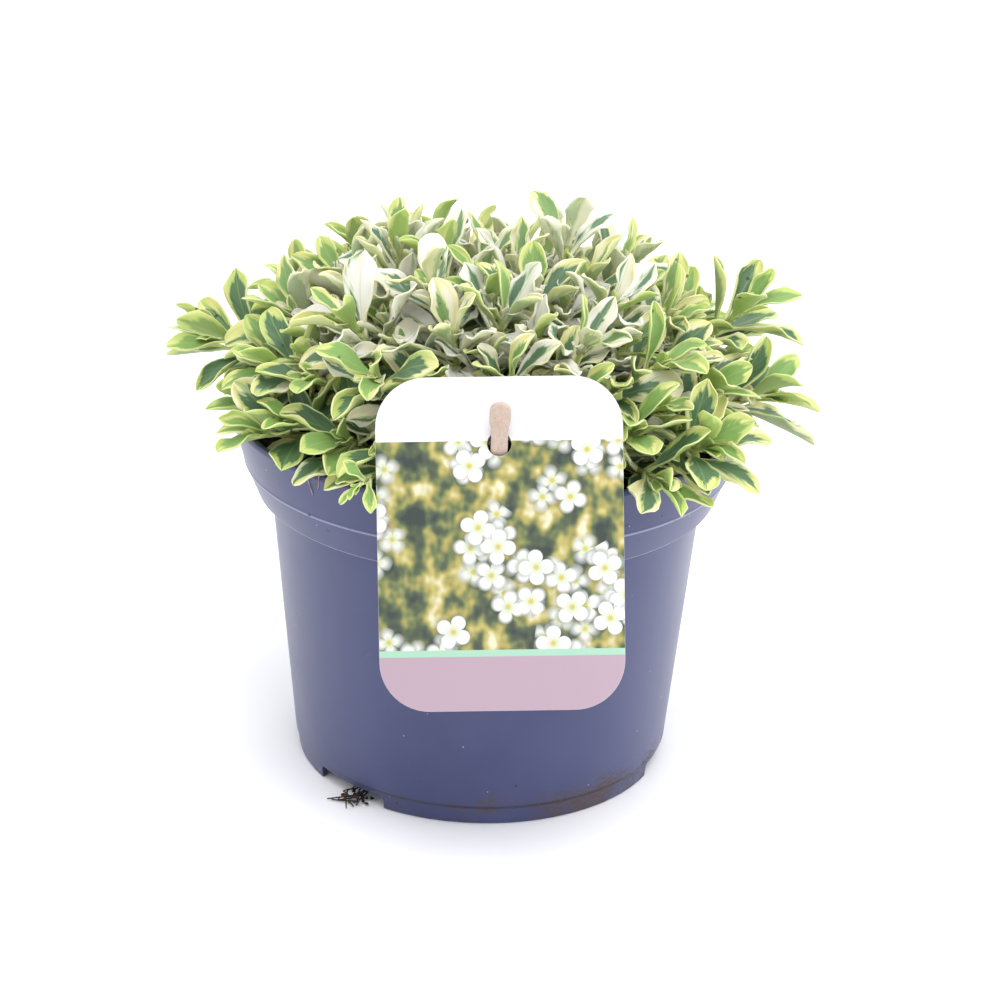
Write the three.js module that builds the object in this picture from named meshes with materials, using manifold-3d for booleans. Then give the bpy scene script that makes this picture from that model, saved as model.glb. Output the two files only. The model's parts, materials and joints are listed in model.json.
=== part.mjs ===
// A variegated rock cress in its nursery pot: a mat of leafy shoots standing in peat, in a
// thin-walled moulded plastic pot, with a card label hung on a flat wooden stick at the front rim.
// Millimetres, +Z up, origin on the pot's axis at the level of its foot. The label faces -Y.
import * as THREE from "three";
import { mergeVertices } from "three/addons/utils/BufferGeometryUtils.js";
import Module from "manifold-3d";

const wasm = await Module();
wasm.setup();

// Pot
const POT_HEIGHT = 101.5;
const RIM_RADIUS = 70;
const LIP_WIDTH = 1.8;
const WALL = 1.4;
const COLLAR_LINE = { r: 66.5, z: 87.6 };
const COLLAR_FOOT = { r: 63.1, z: 78.3 };
const BODY_TOP_RADIUS = 59.4;
const FOOT_LINE = { r: 52.8, z: 5.2 };
const FOOT_RADIUS = 51.9;
const SKIRT_WALL = 1.6;
const FLOOR = { under: 4, over: 5.4 };
const LEDGE = 1.2;
const POT_SIDES = 48;
const NOTCHES = { count: 3, first: -133, width: 27, flare: 1.04 };
const DRAINS = { count: 6, ring: 36, radius: 4, first: -103, sides: 8 };

// Soil
const SOIL_SIDES = 32;
const SOIL_TOP = 93;
const SOIL_CROWN = 2.5;
const SOIL_EDGE = 91;
const SOIL_SHOULDER = 44;
const GAP = 0.3;
const HOLE = { depth: 9, radius: 1.85, sides: 5 };

// Label card and the stick that it hangs on
const CARD = { width: 61, height: 83, thick: 0.6, corner: 12.5, aboveRim: 31.5, holeUp: 14.9 };
const CARD_HOLE_RADIUS = 3;
const CARD_LEAN = 17.8;
const CARD_ROLL = 2.4;
const CARD_AT = new THREE.Vector3(3.5, -70.9, POT_HEIGHT);
const STICK = { width: 4.2, head: 5.2, thick: 1.5, above: 12.5, below: 62, neck: 8, point: 9, lean: 16 };

// Shoots: a domed cushion filled by the golden angle, and the single shoots that stand out of it.
// Angles are in degrees, and a stray is the most that a shoot or leaf departs from the rule.
const GOLDEN = 137.508;
const CUSHION = {
  shoots: 32,
  radius: 61.5,
  low: 107,
  rise: 32,
  flatness: 0.94,
  root: 0.56,
  turn: 40,
  inner: 0.62,
  lean: { middle: 6, edge: 64, power: 1.6 },
  stray: { turn: 7, height: 3, lean: 6, side: 14, size: 0.04 },
};
const STEM = { radius: 1.2, sides: 4, steps: 2, bow: 0.5, clear: 2 };

// Leaves: those at the foot of a shoot spread wide, those at its top stand upright and are smaller
const LEAF = {
  slots: 8,
  length: 24.5,
  width: 9.6,
  petiole: 1.8,
  thick: 0.9,
  top: { size: 0.68, rank: 0.7 },
  pitch: { low: 76, top: 16, stray: 8, roam: 30, least: 8 },
  bend: { low: 16, top: 30, stray: 26 },
  fold: { least: 10, most: 50 },
  turn: 26,
  twist: 38,
  wave: 16,
  stray: { size: 0.1, width: 0.14 },
};
// How much of the way a leaf turns its upper face to the light, and how much closer to a leaning stem
// the leaves below it lie
const LIGHT = { turn: 0.8, press: 0.45 };
// Each try after the first turns and tilts a leaf more, and makes it shorter and narrower
const TRIES = { most: 24, free: 6, shorter: 0.016, narrower: 0.012 };
// A shoot's leafy stretch, which is straight, and how deep below its end the last leaf is rooted
const LEAFY = 11;
const ROOTED = 1.2;
const SPINE_STEPS = 16;
// The share of a leaf past which it crosses no other leaf of its own shoot
const BLADE_FROM = 0.26;
// x, y, z of the crown, how far the shoot leans out and towards which side, leaf size, leaves
const SINGLES = {
  right_upper: { at: [68, 9, 127], lean: 48, side: 4, size: 1, leaves: 8 },
  right_tip: { at: [72, -14, 111], lean: 68, side: -8, size: 1.04, leaves: 9 },
  right_star: { at: [55, -50, 110], lean: 58, side: -50, size: 1, leaves: 9 },
  right_front: { at: [36, -50, 114], lean: 50, side: -75, size: 1, leaves: 8 },
  right_low: { at: [43, -57, 103.5], lean: 84, side: -62, size: 0.95, leaves: 8 },
  left_tip: { at: [-73, 4, 117], lean: 74, side: 176, size: 1, leaves: 9 },
  left_rim: { at: [-56, -36, 105], lean: 76, side: -150, size: 1, leaves: 9 },
  left_front: { at: [-36, -48, 108], lean: 64, side: -118, size: 1, leaves: 9 },
  front_small: { at: [-32, -70, 104.8], lean: 96, side: -128, size: 0.42, leaves: 5 },
  top_right: { at: [20, 10, 144], lean: 12, side: 60, size: 1, leaves: 7 },
  top_left: { at: [-25, -1, 143], lean: 10, side: 120, size: 0.95, leaves: 7 },
  back_middle: { at: [3, 71, 110], lean: 74, side: 88, size: 1.1, leaves: 8 },
  back_left: { at: [-40, 57, 110], lean: 68, side: 124, size: 0.95, leaves: 8 },
  back_right: { at: [44, 54, 111], lean: 66, side: 52, size: 0.95, leaves: 8 },
};

const COLOURS = {
  pot: 0x3f4468,
  soil: 0x2a211b,
  card: 0xf4f4f6,
  stick: 0xcdb29c,
  green: 0x9db95a,
  cream: 0xd9dcae,
};

const rad = THREE.MathUtils.degToRad;
const UP = new THREE.Vector3(0, 0, 1);

// A repeatable draw from 0 to 1 for each shoot, leaf, try and purpose.
function draw(shoot, leaf, attempt, purpose) {
  const wave = Math.sin(shoot * 127.1 + leaf * 311.7 + attempt * 74.7 + purpose * 269.5) * 43758.5453;
  return wave - Math.floor(wave);
}
const spread = (...keys) => 2 * draw(...keys) - 1;
const mix = (a, b, share) => a + (b - a) * share;

// A solid from x, y, z of its vertices and the three corners of each triangle.
function solidFrom(vertices, triangles) {
  const mesh = new wasm.Mesh({
    numProp: 3,
    vertProperties: new Float32Array(vertices),
    triVerts: new Uint32Array(triangles),
  });
  return new wasm.Manifold(mesh);
}

// A solid from one closed three.js geometry, with its shared vertices merged.
function solidOf(geometry, matrix = new THREE.Matrix4()) {
  const bare = geometry.clone();
  bare.deleteAttribute("normal");
  bare.deleteAttribute("uv");
  bare.applyMatrix4(matrix);
  const merged = mergeVertices(bare, 1e-4);
  const triangles = [];
  for (let i = 0; i < merged.index.count; i += 3) {
    const [a, b, c] = merged.index.array.subarray(i, i + 3);
    if (a !== b && b !== c && c !== a) triangles.push(a, b, c);
  }
  return solidFrom(merged.attributes.position.array, triangles);
}

function geometryOf(solid) {
  const mesh = solid.getMesh();
  const geometry = new THREE.BufferGeometry();
  geometry.setAttribute("position", new THREE.BufferAttribute(mesh.vertProperties, 3));
  geometry.setIndex(new THREE.BufferAttribute(mesh.triVerts, 1));
  geometry.computeVertexNormals();
  return geometry;
}

// A solid of revolution about +Z from [radius, height] points that start and end on the axis.
function turned(points, sides) {
  const outline = points.map(([r, z]) => new THREE.Vector2(r, z));
  return solidOf(new THREE.LatheGeometry(outline, sides), new THREE.Matrix4().makeRotationX(Math.PI / 2));
}

function cylinderSolid(radius, height, sides, x, y, z) {
  const upright = new THREE.Matrix4().makeRotationX(Math.PI / 2);
  const placed = new THREE.Matrix4().makeTranslation(x, y, z + height / 2);
  return solidOf(new THREE.CylinderGeometry(radius, radius, height, sides), placed.multiply(upright));
}

// The pot's outer radius at a height of its body.
function bodyRadius(z) {
  const share = (z - FOOT_LINE.z) / (COLLAR_FOOT.z - FOOT_LINE.z);
  return mix(FOOT_LINE.r, BODY_TOP_RADIUS, share);
}

// The inside of the wall at a height of the collar.
function collarInside(z) {
  const low = z < COLLAR_LINE.z;
  const a = low ? COLLAR_FOOT : COLLAR_LINE;
  const b = low ? COLLAR_LINE : { r: RIM_RADIUS, z: POT_HEIGHT };
  return mix(a.r, b.r, (z - a.z) / (b.z - a.z)) - WALL;
}

// Thin wall with a tapered collar over a step, a raised floor, and a skirt cut away in three places.
function potSolid() {
  const outline = [
    [0, FLOOR.under],
    [FOOT_RADIUS - SKIRT_WALL, FLOOR.under],
    [FOOT_RADIUS - SKIRT_WALL, 0],
    [FOOT_RADIUS, 0],
    [FOOT_LINE.r - 0.5, FOOT_LINE.z - 0.3],
    [FOOT_LINE.r, FOOT_LINE.z + 0.3],
    [BODY_TOP_RADIUS, COLLAR_FOOT.z + 0.6],
    [COLLAR_FOOT.r - 0.7, COLLAR_FOOT.z],
    [COLLAR_FOOT.r, COLLAR_FOOT.z + 0.7],
    [COLLAR_LINE.r, COLLAR_LINE.z],
    [RIM_RADIUS, POT_HEIGHT - 1.2],
    [RIM_RADIUS - 0.5, POT_HEIGHT],
    [RIM_RADIUS - LIP_WIDTH, POT_HEIGHT],
    [collarInside(POT_HEIGHT - 2), POT_HEIGHT - 2],
    [collarInside(COLLAR_LINE.z), COLLAR_LINE.z],
    [collarInside(COLLAR_FOOT.z + LEDGE), COLLAR_FOOT.z + LEDGE + 0.8],
    [BODY_TOP_RADIUS - WALL, COLLAR_FOOT.z + LEDGE],
    [bodyRadius(FLOOR.over) - WALL, FLOOR.over],
    [0, FLOOR.over],
  ];
  let pot = turned(outline, POT_SIDES);
  for (let i = 0; i < NOTCHES.count; i += 1) {
    const middle = rad(NOTCHES.first + (i * 360) / NOTCHES.count);
    const half = rad(NOTCHES.width / 2);
    const flared = half * NOTCHES.flare;
    const far = FOOT_RADIUS + 6;
    const near = FOOT_RADIUS - 4;
    const wedge = new THREE.Shape();
    wedge.moveTo(near * Math.cos(middle - half), near * Math.sin(middle - half));
    wedge.lineTo(far * Math.cos(middle - flared), far * Math.sin(middle - flared));
    wedge.lineTo(far * Math.cos(middle + flared), far * Math.sin(middle + flared));
    wedge.lineTo(near * Math.cos(middle + half), near * Math.sin(middle + half));
    const block = new THREE.ExtrudeGeometry(wedge, { depth: FLOOR.under + 1, bevelEnabled: false });
    pot = pot.subtract(solidOf(block, new THREE.Matrix4().makeTranslation(0, 0, -1)));
  }
  for (let i = 0; i < DRAINS.count; i += 1) {
    const angle = rad(DRAINS.first + (i * 360) / DRAINS.count);
    const x = DRAINS.ring * Math.cos(angle);
    const y = DRAINS.ring * Math.sin(angle);
    pot = pot.subtract(cylinderSolid(DRAINS.radius, 2 * FLOOR.over, DRAINS.sides, x, y, 0));
  }
  return pot;
}

// The direction that a leaf starts in, and the one across it once its face is turned to the light.
function leafDirections(axis, azimuth, pitch) {
  const helper = Math.abs(axis.z) < 0.9 ? UP : new THREE.Vector3(1, 0, 0);
  const sideways = new THREE.Vector3().crossVectors(axis, helper).normalize();
  const radial = sideways.applyAxisAngle(axis, azimuth);
  const angle = pitch * (1 - LIGHT.press * Math.max(-radial.z, 0));
  const ahead = axis.clone().multiplyScalar(Math.cos(angle)).addScaledVector(radial, Math.sin(angle));
  const across = new THREE.Vector3().crossVectors(axis, radial);
  const face = new THREE.Vector3().crossVectors(ahead, across);
  const light = UP.clone().addScaledVector(ahead, -ahead.z);
  const turn = Math.atan2(new THREE.Vector3().crossVectors(face, light).dot(ahead), face.dot(light));
  across.applyAxisAngle(ahead, LIGHT.turn * light.length() * turn);
  return { ahead, across };
}

// Frames a blade's spine: where it is at a share of its length, with its side and face directions.
function spine(leaf) {
  const { base, ahead, across, bend, twist, length } = leaf;
  const upper = new THREE.Vector3().crossVectors(ahead, across);
  const points = [base.clone()];
  const tangents = [];
  for (let i = 0; i < SPINE_STEPS; i += 1) {
    const angle = bend * ((i + 0.5) / SPINE_STEPS) ** 2;
    const tangent = ahead.clone().multiplyScalar(Math.cos(angle)).addScaledVector(upper, -Math.sin(angle));
    tangents.push(tangent);
    points.push(points[i].clone().addScaledVector(tangent, length / SPINE_STEPS));
  }
  return (share) => {
    const place = Math.min(share * SPINE_STEPS, SPINE_STEPS - 1e-9);
    const i = Math.floor(place);
    const at = points[i].clone().addScaledVector(tangents[i], ((place - i) * length) / SPINE_STEPS);
    const side = across.clone().applyAxisAngle(tangents[i], twist * share);
    const face = new THREE.Vector3().crossVectors(tangents[i], side);
    return { at, side, face };
  };
}

// Half the blade's width at a share of its length: a narrow stalk, then spoon-shaped.
function halfWidth(leaf, share) {
  const blade = (leaf.width / 2) * Math.max(Math.sin(Math.PI * share ** 1.9), 0) ** (0.95 - 0.4 * share);
  return Math.max(blade, (leaf.petiole / 2) * (1 - share));
}

// How far an edge is folded up or down, with a slow wave that differs from one edge to the other.
function edgeLift(leaf, share, hand) {
  return leaf.fold + leaf.wave * Math.sin(2 * Math.PI * (1.6 * share + leaf.phase) + (hand > 0 ? 0 : 2.2));
}

// A channelled blade with sharp edges: each station has an edge, the rib above, an edge, the rib below.
function leafSolid(leaf, from = 0) {
  const along = spine(leaf);
  const stations = leaf.young ? [0.42, 0.8] : [0.29, 0.57, 0.84];
  const root = along(from).at;
  const vertices = [root.x, root.y, root.z];
  for (const share of stations) {
    const { at, side, face } = along(share);
    const half = halfWidth(leaf, share);
    const thick = leaf.thick * (share < 0.5 ? 1.1 : 1);
    const [left, right] = [1, -1].map((hand) => {
      const lift = edgeLift(leaf, share, hand);
      const out = at.clone().addScaledVector(side, hand * half * Math.cos(lift));
      return out.addScaledVector(face, half * Math.sin(lift));
    });
    const rows = [
      left,
      at.clone().addScaledVector(face, thick / 2),
      right,
      at.clone().addScaledVector(face, -thick / 2),
    ];
    rows.forEach((p) => vertices.push(p.x, p.y, p.z));
  }
  const tip = along(1).at;
  vertices.push(tip.x, tip.y, tip.z);
  const triangles = [];
  const last = stations.length - 1;
  for (let k = 0; k < 4; k += 1) {
    const next = (k + 1) % 4;
    triangles.push(0, 1 + next, 1 + k);
    for (let s = 0; s < last; s += 1) {
      const a = 1 + s * 4 + k;
      const b = 1 + s * 4 + next;
      // The split runs from edge to rib the same way on both faces, so that they never cross.
      if (k % 2 === 0) triangles.push(a, b, a + 4, b, b + 4, a + 4);
      else triangles.push(a, b, b + 4, a, b + 4, a + 4);
    }
    triangles.push(1 + last * 4 + k, 1 + last * 4 + next, 1 + stations.length * 4);
  }
  return solidFrom(vertices, triangles);
}

// Every shoot: where its stem is rooted, its crown, its axis, and how large and how many its leaves are.
function shootList() {
  const list = [];
  const { lean, stray } = CUSHION;
  for (let i = 0; i < CUSHION.shoots; i += 1) {
    const share = Math.sqrt((i + 0.5) / CUSHION.shoots);
    const angle = rad(CUSHION.turn + i * GOLDEN + stray.turn * spread(i, 0, 0, 1));
    const r = CUSHION.radius * share;
    const dome = Math.sqrt(1 - CUSHION.flatness * share * share);
    list.push({
      name: "shoot_" + String(i + 1).padStart(2, "0"),
      crown: new THREE.Vector3(
        r * Math.cos(angle),
        r * Math.sin(angle),
        CUSHION.low + CUSHION.rise * dome + stray.height * spread(i, 0, 0, 2),
      ),
      lean: rad(mix(lean.middle, lean.edge, share ** lean.power) + stray.lean * spread(i, 0, 0, 3)),
      side: angle + rad(stray.side * spread(i, 0, 0, 4)),
      size: 1 + stray.size * spread(i, 0, 0, 5),
      leaves: LEAF.slots,
    });
  }
  for (const [name, { at, lean, side, size, leaves }] of Object.entries(SINGLES)) {
    const crown = new THREE.Vector3(...at);
    list.push({ name: "shoot_" + name, crown, lean: rad(lean), side: rad(side), size, leaves });
  }
  list.forEach((shoot, index) => {
    shoot.index = index;
    shoot.root = new THREE.Vector2(shoot.crown.x, shoot.crown.y).multiplyScalar(CUSHION.root);
    shoot.axis = new THREE.Vector3(
      Math.sin(shoot.lean) * Math.cos(shoot.side),
      Math.sin(shoot.lean) * Math.sin(shoot.side),
      Math.cos(shoot.lean),
    );
  });
  return list;
}

// A stem's path: upright in its hole, bowed above the soil, and straight through its leafy stretch.
function stemPath(shoot) {
  const foot = new THREE.Vector3(shoot.root.x, shoot.root.y, SOIL_TOP - HOLE.depth + 1);
  const above = new THREE.Vector3(shoot.root.x, shoot.root.y, SOIL_TOP + STEM.clear);
  const neck = shoot.crown.clone().addScaledVector(shoot.axis, -LEAFY * shoot.size - 2 * ROOTED);
  const before = neck.clone().addScaledVector(shoot.axis, -STEM.bow * neck.distanceTo(above));
  const bow = new THREE.QuadraticBezierCurve3(above, before, neck);
  return [foot, ...bow.getPoints(STEM.steps), shoot.crown];
}

function stemSolid(shoot) {
  const path = stemPath(shoot);
  const ends = path.length - 1;
  const sides = STEM.sides;
  const radius = STEM.radius * mix(0.8, 1, shoot.size);
  const vertices = [];
  path.forEach((p, i) => {
    const ahead = path[Math.min(i + 1, ends)].clone().sub(path[Math.max(i - 1, 0)]).normalize();
    if (i <= 1) ahead.copy(UP);
    const u = new THREE.Vector3(0, 1, 0).cross(ahead).normalize();
    const v = new THREE.Vector3().crossVectors(ahead, u);
    for (let k = 0; k < sides; k += 1) {
      const angle = (k * 2 * Math.PI) / sides;
      const q = p.clone().addScaledVector(u, radius * Math.cos(angle));
      q.addScaledVector(v, radius * Math.sin(angle));
      vertices.push(q.x, q.y, q.z);
    }
  });
  const triangles = [];
  for (let k = 0; k < sides; k += 1) {
    const next = (k + 1) % sides;
    for (let i = 0; i < ends; i += 1) {
      const a = i * sides + k;
      const b = i * sides + next;
      triangles.push(a, b, b + sides, a, b + sides, a + sides);
    }
    if (k > 0 && next > 0) triangles.push(0, next, k, ends * sides, ends * sides + k, ends * sides + next);
  }
  return solidFrom(vertices, triangles);
}

// One way to set a leaf in its place on a shoot. Later tries turn and tilt it more and make it shorter.
function leafOf(shoot, slot, attempt) {
  const i = shoot.index;
  const rank = slot / (shoot.leaves - 1);
  const size = shoot.size * mix(1, LEAF.top.size, rank ** 2) * (1 + LEAF.stray.size * spread(i, slot, 0, 6));
  const back = ROOTED + LEAFY * shoot.size * (1 - rank);
  const roam = Math.min(attempt / TRIES.free, 1);
  const { pitch, bend, fold } = LEAF;
  const open = mix(pitch.low, pitch.top, rank) + pitch.stray * spread(i, slot, 0, 9);
  const wide = size * (1 + LEAF.stray.width * spread(i, slot, 0, 13));
  const azimuth = slot * GOLDEN + 360 * draw(i, 0, 0, 7) + LEAF.turn * roam * spread(i, slot, attempt, 8);
  const opened = Math.max(open + pitch.roam * roam * spread(i, slot, attempt, 14), pitch.least);
  return {
    ...leafDirections(shoot.axis, rad(azimuth), rad(opened)),
    base: shoot.crown.clone().addScaledVector(shoot.axis, -back),
    bend: rad(mix(bend.low, bend.top, rank) + bend.stray * spread(i, slot, attempt, 10)),
    twist: rad(LEAF.twist * spread(i, slot, attempt, 11)),
    fold: rad(mix(fold.least, fold.most, draw(i, slot, 0, 12) ** 2)),
    wave: rad(LEAF.wave * draw(i, slot, 0, 15)),
    phase: draw(i, slot, 0, 16),
    length: LEAF.length * size * (1 - TRIES.shorter * attempt),
    width: LEAF.width * wide * (1 - TRIES.narrower * attempt),
    petiole: LEAF.petiole * mix(0.85, 1, size),
    thick: LEAF.thick * Math.min(1, mix(0.75, 1, size)),
    young: rank > LEAF.top.rank,
  };
}

function boxesMeet(a, b, margin) {
  return [0, 1, 2].every((k) => a.min[k] - margin < b.max[k] && b.min[k] - margin < a.max[k]);
}

function isClear(solid, box, others) {
  return others.every((o) => !boxesMeet(box, o.box, GAP) || solid.minGap(o.solid, 2 * GAP) > GAP);
}

// Sets every leaf clear of all other shoots, the pot, the soil and the label, and fuses each shoot.
function shootSolids(shoots, fixed) {
  const placed = shoots.map((shoot) => {
    const stem = stemSolid(shoot);
    return [{ solid: stem, box: stem.boundingBox() }];
  });
  const still = fixed.map((solid) => ({ solid, box: solid.boundingBox() }));
  const most = Math.max(...shoots.map((shoot) => shoot.leaves));
  for (let turn = 0; turn < most; turn += 1) {
    for (const shoot of shoots) {
      const slot = shoot.leaves - 1 - turn;
      if (slot < 0) continue;
      const near = [...still, ...placed.filter((_, k) => k !== shoot.index).flat()];
      for (let attempt = 0; attempt < TRIES.most; attempt += 1) {
        const leaf = leafOf(shoot, slot, attempt);
        const solid = leafSolid(leaf);
        const blade = leafSolid(leaf, BLADE_FROM);
        const box = solid.boundingBox();
        const own = placed[shoot.index].slice(1).map(({ blade, box }) => ({ solid: blade, box }));
        if (!isClear(solid, box, near) || !isClear(blade, box, own)) continue;
        placed[shoot.index].push({ solid, blade, box });
        break;
      }
    }
  }
  return placed.map((pieces) => wasm.Manifold.union(pieces.map((p) => p.solid)));
}

function cardMatrix() {
  const lean = new THREE.Matrix4().makeRotationX(-rad(CARD_LEAN));
  const stand = new THREE.Matrix4().makeRotationX(Math.PI / 2);
  const roll = new THREE.Matrix4().makeRotationZ(rad(CARD_ROLL));
  const placed = new THREE.Matrix4().makeTranslation(CARD_AT.x, CARD_AT.y, CARD_AT.z);
  return placed.multiply(lean).multiply(stand).multiply(roll);
}

// A card with large rounded corners and one round hole. Its drawing plane is x across, y up.
function cardSolid() {
  const { width, height, corner, thick, aboveRim, holeUp } = CARD;
  const w = width / 2;
  const top = aboveRim;
  const low = aboveRim - height;
  const outline = new THREE.Shape();
  outline.absarc(w - corner, top - corner, corner, 0, Math.PI / 2);
  outline.absarc(corner - w, top - corner, corner, Math.PI / 2, Math.PI);
  outline.absarc(corner - w, low + corner, corner, Math.PI, 1.5 * Math.PI);
  outline.absarc(w - corner, low + corner, corner, 1.5 * Math.PI, 2 * Math.PI);
  outline.closePath();
  const hole = new THREE.Path().absarc(0, holeUp, CARD_HOLE_RADIUS, 0, 2 * Math.PI);
  outline.holes.push(hole);
  const sheet = new THREE.ExtrudeGeometry(outline, { depth: thick, bevelEnabled: false, curveSegments: 6 });
  return solidOf(sheet, cardMatrix());
}

// A flat stick with a rounded head, pointed in the soil, leaning out through the card's hole.
function stickOutline() {
  const half = STICK.width / 2;
  const head = STICK.head / 2;
  const point = STICK.point - STICK.below;
  const neck = STICK.above - STICK.neck;
  const outline = new THREE.Shape();
  outline.moveTo(0, -STICK.below);
  outline.lineTo(half, point);
  outline.lineTo(half, neck);
  outline.quadraticCurveTo(head, neck + 1, head, neck + 3);
  outline.lineTo(head, STICK.above - head);
  outline.absarc(0, STICK.above - head, head, 0, Math.PI);
  outline.lineTo(-head, neck + 3);
  outline.quadraticCurveTo(-head, neck + 1, -half, neck);
  outline.lineTo(-half, point);
  outline.closePath();
  return outline;
}

function stickMatrix() {
  const hole = new THREE.Vector3(0, CARD.holeUp, CARD.thick / 2).applyMatrix4(cardMatrix());
  const lean = new THREE.Matrix4().makeRotationX(rad(STICK.lean));
  const stand = new THREE.Matrix4().makeRotationX(Math.PI / 2);
  const middle = new THREE.Matrix4().makeTranslation(0, 0, -STICK.thick / 2);
  const placed = new THREE.Matrix4().makeTranslation(hole.x, hole.y, hole.z);
  return placed.multiply(lean).multiply(stand).multiply(middle);
}

function stickSolid() {
  const options = { depth: STICK.thick, bevelEnabled: false, curveSegments: 4 };
  return solidOf(new THREE.ExtrudeGeometry(stickOutline(), options), stickMatrix());
}

// The stick's slot in the soil, a little larger than the stick all round.
function stickSlot() {
  const half = STICK.width / 2 + GAP;
  const slot = new THREE.Shape();
  slot.moveTo(-half, -STICK.below - 1);
  slot.lineTo(half, -STICK.below - 1);
  slot.lineTo(half, 0);
  slot.lineTo(-half, 0);
  const depth = STICK.thick + 2 * GAP;
  const block = new THREE.ExtrudeGeometry(slot, { depth, bevelEnabled: false });
  return solidOf(block, stickMatrix().multiply(new THREE.Matrix4().makeTranslation(0, 0, -GAP)));
}

// The root ball fills the pot, a little domed on top, with a plain hole for each stem.
function soilSolid(shoots) {
  const onLedge = COLLAR_FOOT.z + 2 * LEDGE;
  const outline = [
    [0, FLOOR.over + GAP],
    [bodyRadius(FLOOR.over) - WALL - GAP, FLOOR.over + GAP],
    [BODY_TOP_RADIUS - WALL - GAP, COLLAR_FOOT.z + 1],
    [BODY_TOP_RADIUS - WALL - GAP, onLedge],
    [collarInside(onLedge) - 2 * GAP, onLedge],
    [collarInside(SOIL_EDGE) - GAP, SOIL_EDGE],
    [SOIL_SHOULDER, mix(SOIL_EDGE, SOIL_TOP + SOIL_CROWN, 0.7)],
    [0, SOIL_TOP + SOIL_CROWN],
  ];
  let soil = turned(outline, SOIL_SIDES);
  const height = HOLE.depth + 3 * SOIL_CROWN;
  const low = SOIL_TOP - HOLE.depth;
  for (const { root } of shoots)
    soil = soil.subtract(cylinderSolid(HOLE.radius, height, HOLE.sides, root.x, root.y, low));
  return soil.subtract(stickSlot());
}

const shoots = shootList();
const pot = potSolid();
const soil = soilSolid(shoots);
const card = cardSolid();
const stick = stickSolid();

const plant = new THREE.Group();

function addNode(name, solid, colour, roughness) {
  const material = new THREE.MeshStandardMaterial({ color: colour, roughness, metalness: 0 });
  const mesh = new THREE.Mesh(geometryOf(solid), material);
  mesh.name = name;
  plant.add(mesh);
}

addNode("pot", pot, COLOURS.pot, 0.4);
addNode("soil", soil, COLOURS.soil, 0.95);
addNode("label_card", card, COLOURS.card, 0.5);
addNode("label_stick", stick, COLOURS.stick, 0.75);
shootSolids(shoots, [pot, soil, card, stick]).forEach((solid, i) => {
  const inner = Math.hypot(shoots[i].crown.x, shoots[i].crown.y) < CUSHION.inner * CUSHION.radius;
  addNode(shoots[i].name, solid, inner ? COLOURS.cream : COLOURS.green, 0.6);
});

export default plant;
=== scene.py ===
"""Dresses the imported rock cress: finer leafy shoots, peat, the moulded pot, and the label on its stick.

Sizes in the functions are millimetres unless a name says otherwise, and meshes are made in metres.
"""
import json
import math
from types import SimpleNamespace

import bpy
import numpy as np
from mathutils import Matrix, Vector, noise
from mathutils.bvhtree import BVHTree

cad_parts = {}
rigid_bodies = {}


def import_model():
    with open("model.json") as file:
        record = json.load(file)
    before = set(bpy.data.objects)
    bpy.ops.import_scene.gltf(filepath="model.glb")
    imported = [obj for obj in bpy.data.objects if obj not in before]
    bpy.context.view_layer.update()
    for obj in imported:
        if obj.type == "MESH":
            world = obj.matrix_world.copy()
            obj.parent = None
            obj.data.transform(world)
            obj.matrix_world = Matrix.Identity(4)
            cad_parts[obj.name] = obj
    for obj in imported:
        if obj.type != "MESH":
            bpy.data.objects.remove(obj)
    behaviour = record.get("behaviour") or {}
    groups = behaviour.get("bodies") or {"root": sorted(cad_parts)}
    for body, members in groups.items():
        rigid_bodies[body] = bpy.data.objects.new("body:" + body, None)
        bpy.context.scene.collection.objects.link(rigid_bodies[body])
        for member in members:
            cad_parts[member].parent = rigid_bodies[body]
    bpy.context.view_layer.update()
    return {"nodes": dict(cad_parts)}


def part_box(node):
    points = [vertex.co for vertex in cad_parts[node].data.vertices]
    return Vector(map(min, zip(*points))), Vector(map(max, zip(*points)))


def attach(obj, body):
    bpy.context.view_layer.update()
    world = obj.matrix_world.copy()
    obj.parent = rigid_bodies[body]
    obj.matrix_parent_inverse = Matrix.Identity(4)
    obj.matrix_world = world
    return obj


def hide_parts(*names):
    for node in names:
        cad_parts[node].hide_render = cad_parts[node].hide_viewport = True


bl_info = {
    "name": "Potted Rock Cress",
    "version": (1, 0, 0),
    "blender": (4, 5, 0),
    "location": "View3D > Sidebar > Rock Cress",
    "description": "Builds a variegated rock cress in its nursery pot, with a label on a wooden stick",
    "category": "Add Mesh",
}

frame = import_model()
MM = 0.001
UP = np.array([0.0, 0.0, 1.0])
POT_LOW, POT_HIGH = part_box("pot")
RIM_RADIUS = (POT_HIGH.x - POT_LOW.x) / 2 / MM
POT_HEIGHT = POT_HIGH.z / MM

# Pot: radius r and height z of its moulded lines
LIP_WIDTH = 1.8
WALL = 1.4
COLLAR_LINE = SimpleNamespace(r=66.5, z=87.6)
COLLAR_FOOT = SimpleNamespace(r=63.1, z=78.3)
BODY_TOP_RADIUS = 59.4
FOOT_LINE = SimpleNamespace(r=52.8, z=5.2)
FOOT_RADIUS = 51.9
SKIRT_WALL = 1.6
FLOOR = SimpleNamespace(under=4, over=5.4)
LEDGE = 1.2
NOTCHES = SimpleNamespace(count=3, first=-133, width=27)
NOTCH_CUTTER = SimpleNamespace(deep=10, over=3, up=0.3, edge=1.2)
DRAINS = SimpleNamespace(count=6, ring=36, radius=4, first=-103, cutter=8)
DRAIN_LEDGE = 24
SMEAR_AT = Vector((30, -45, 9))

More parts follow.
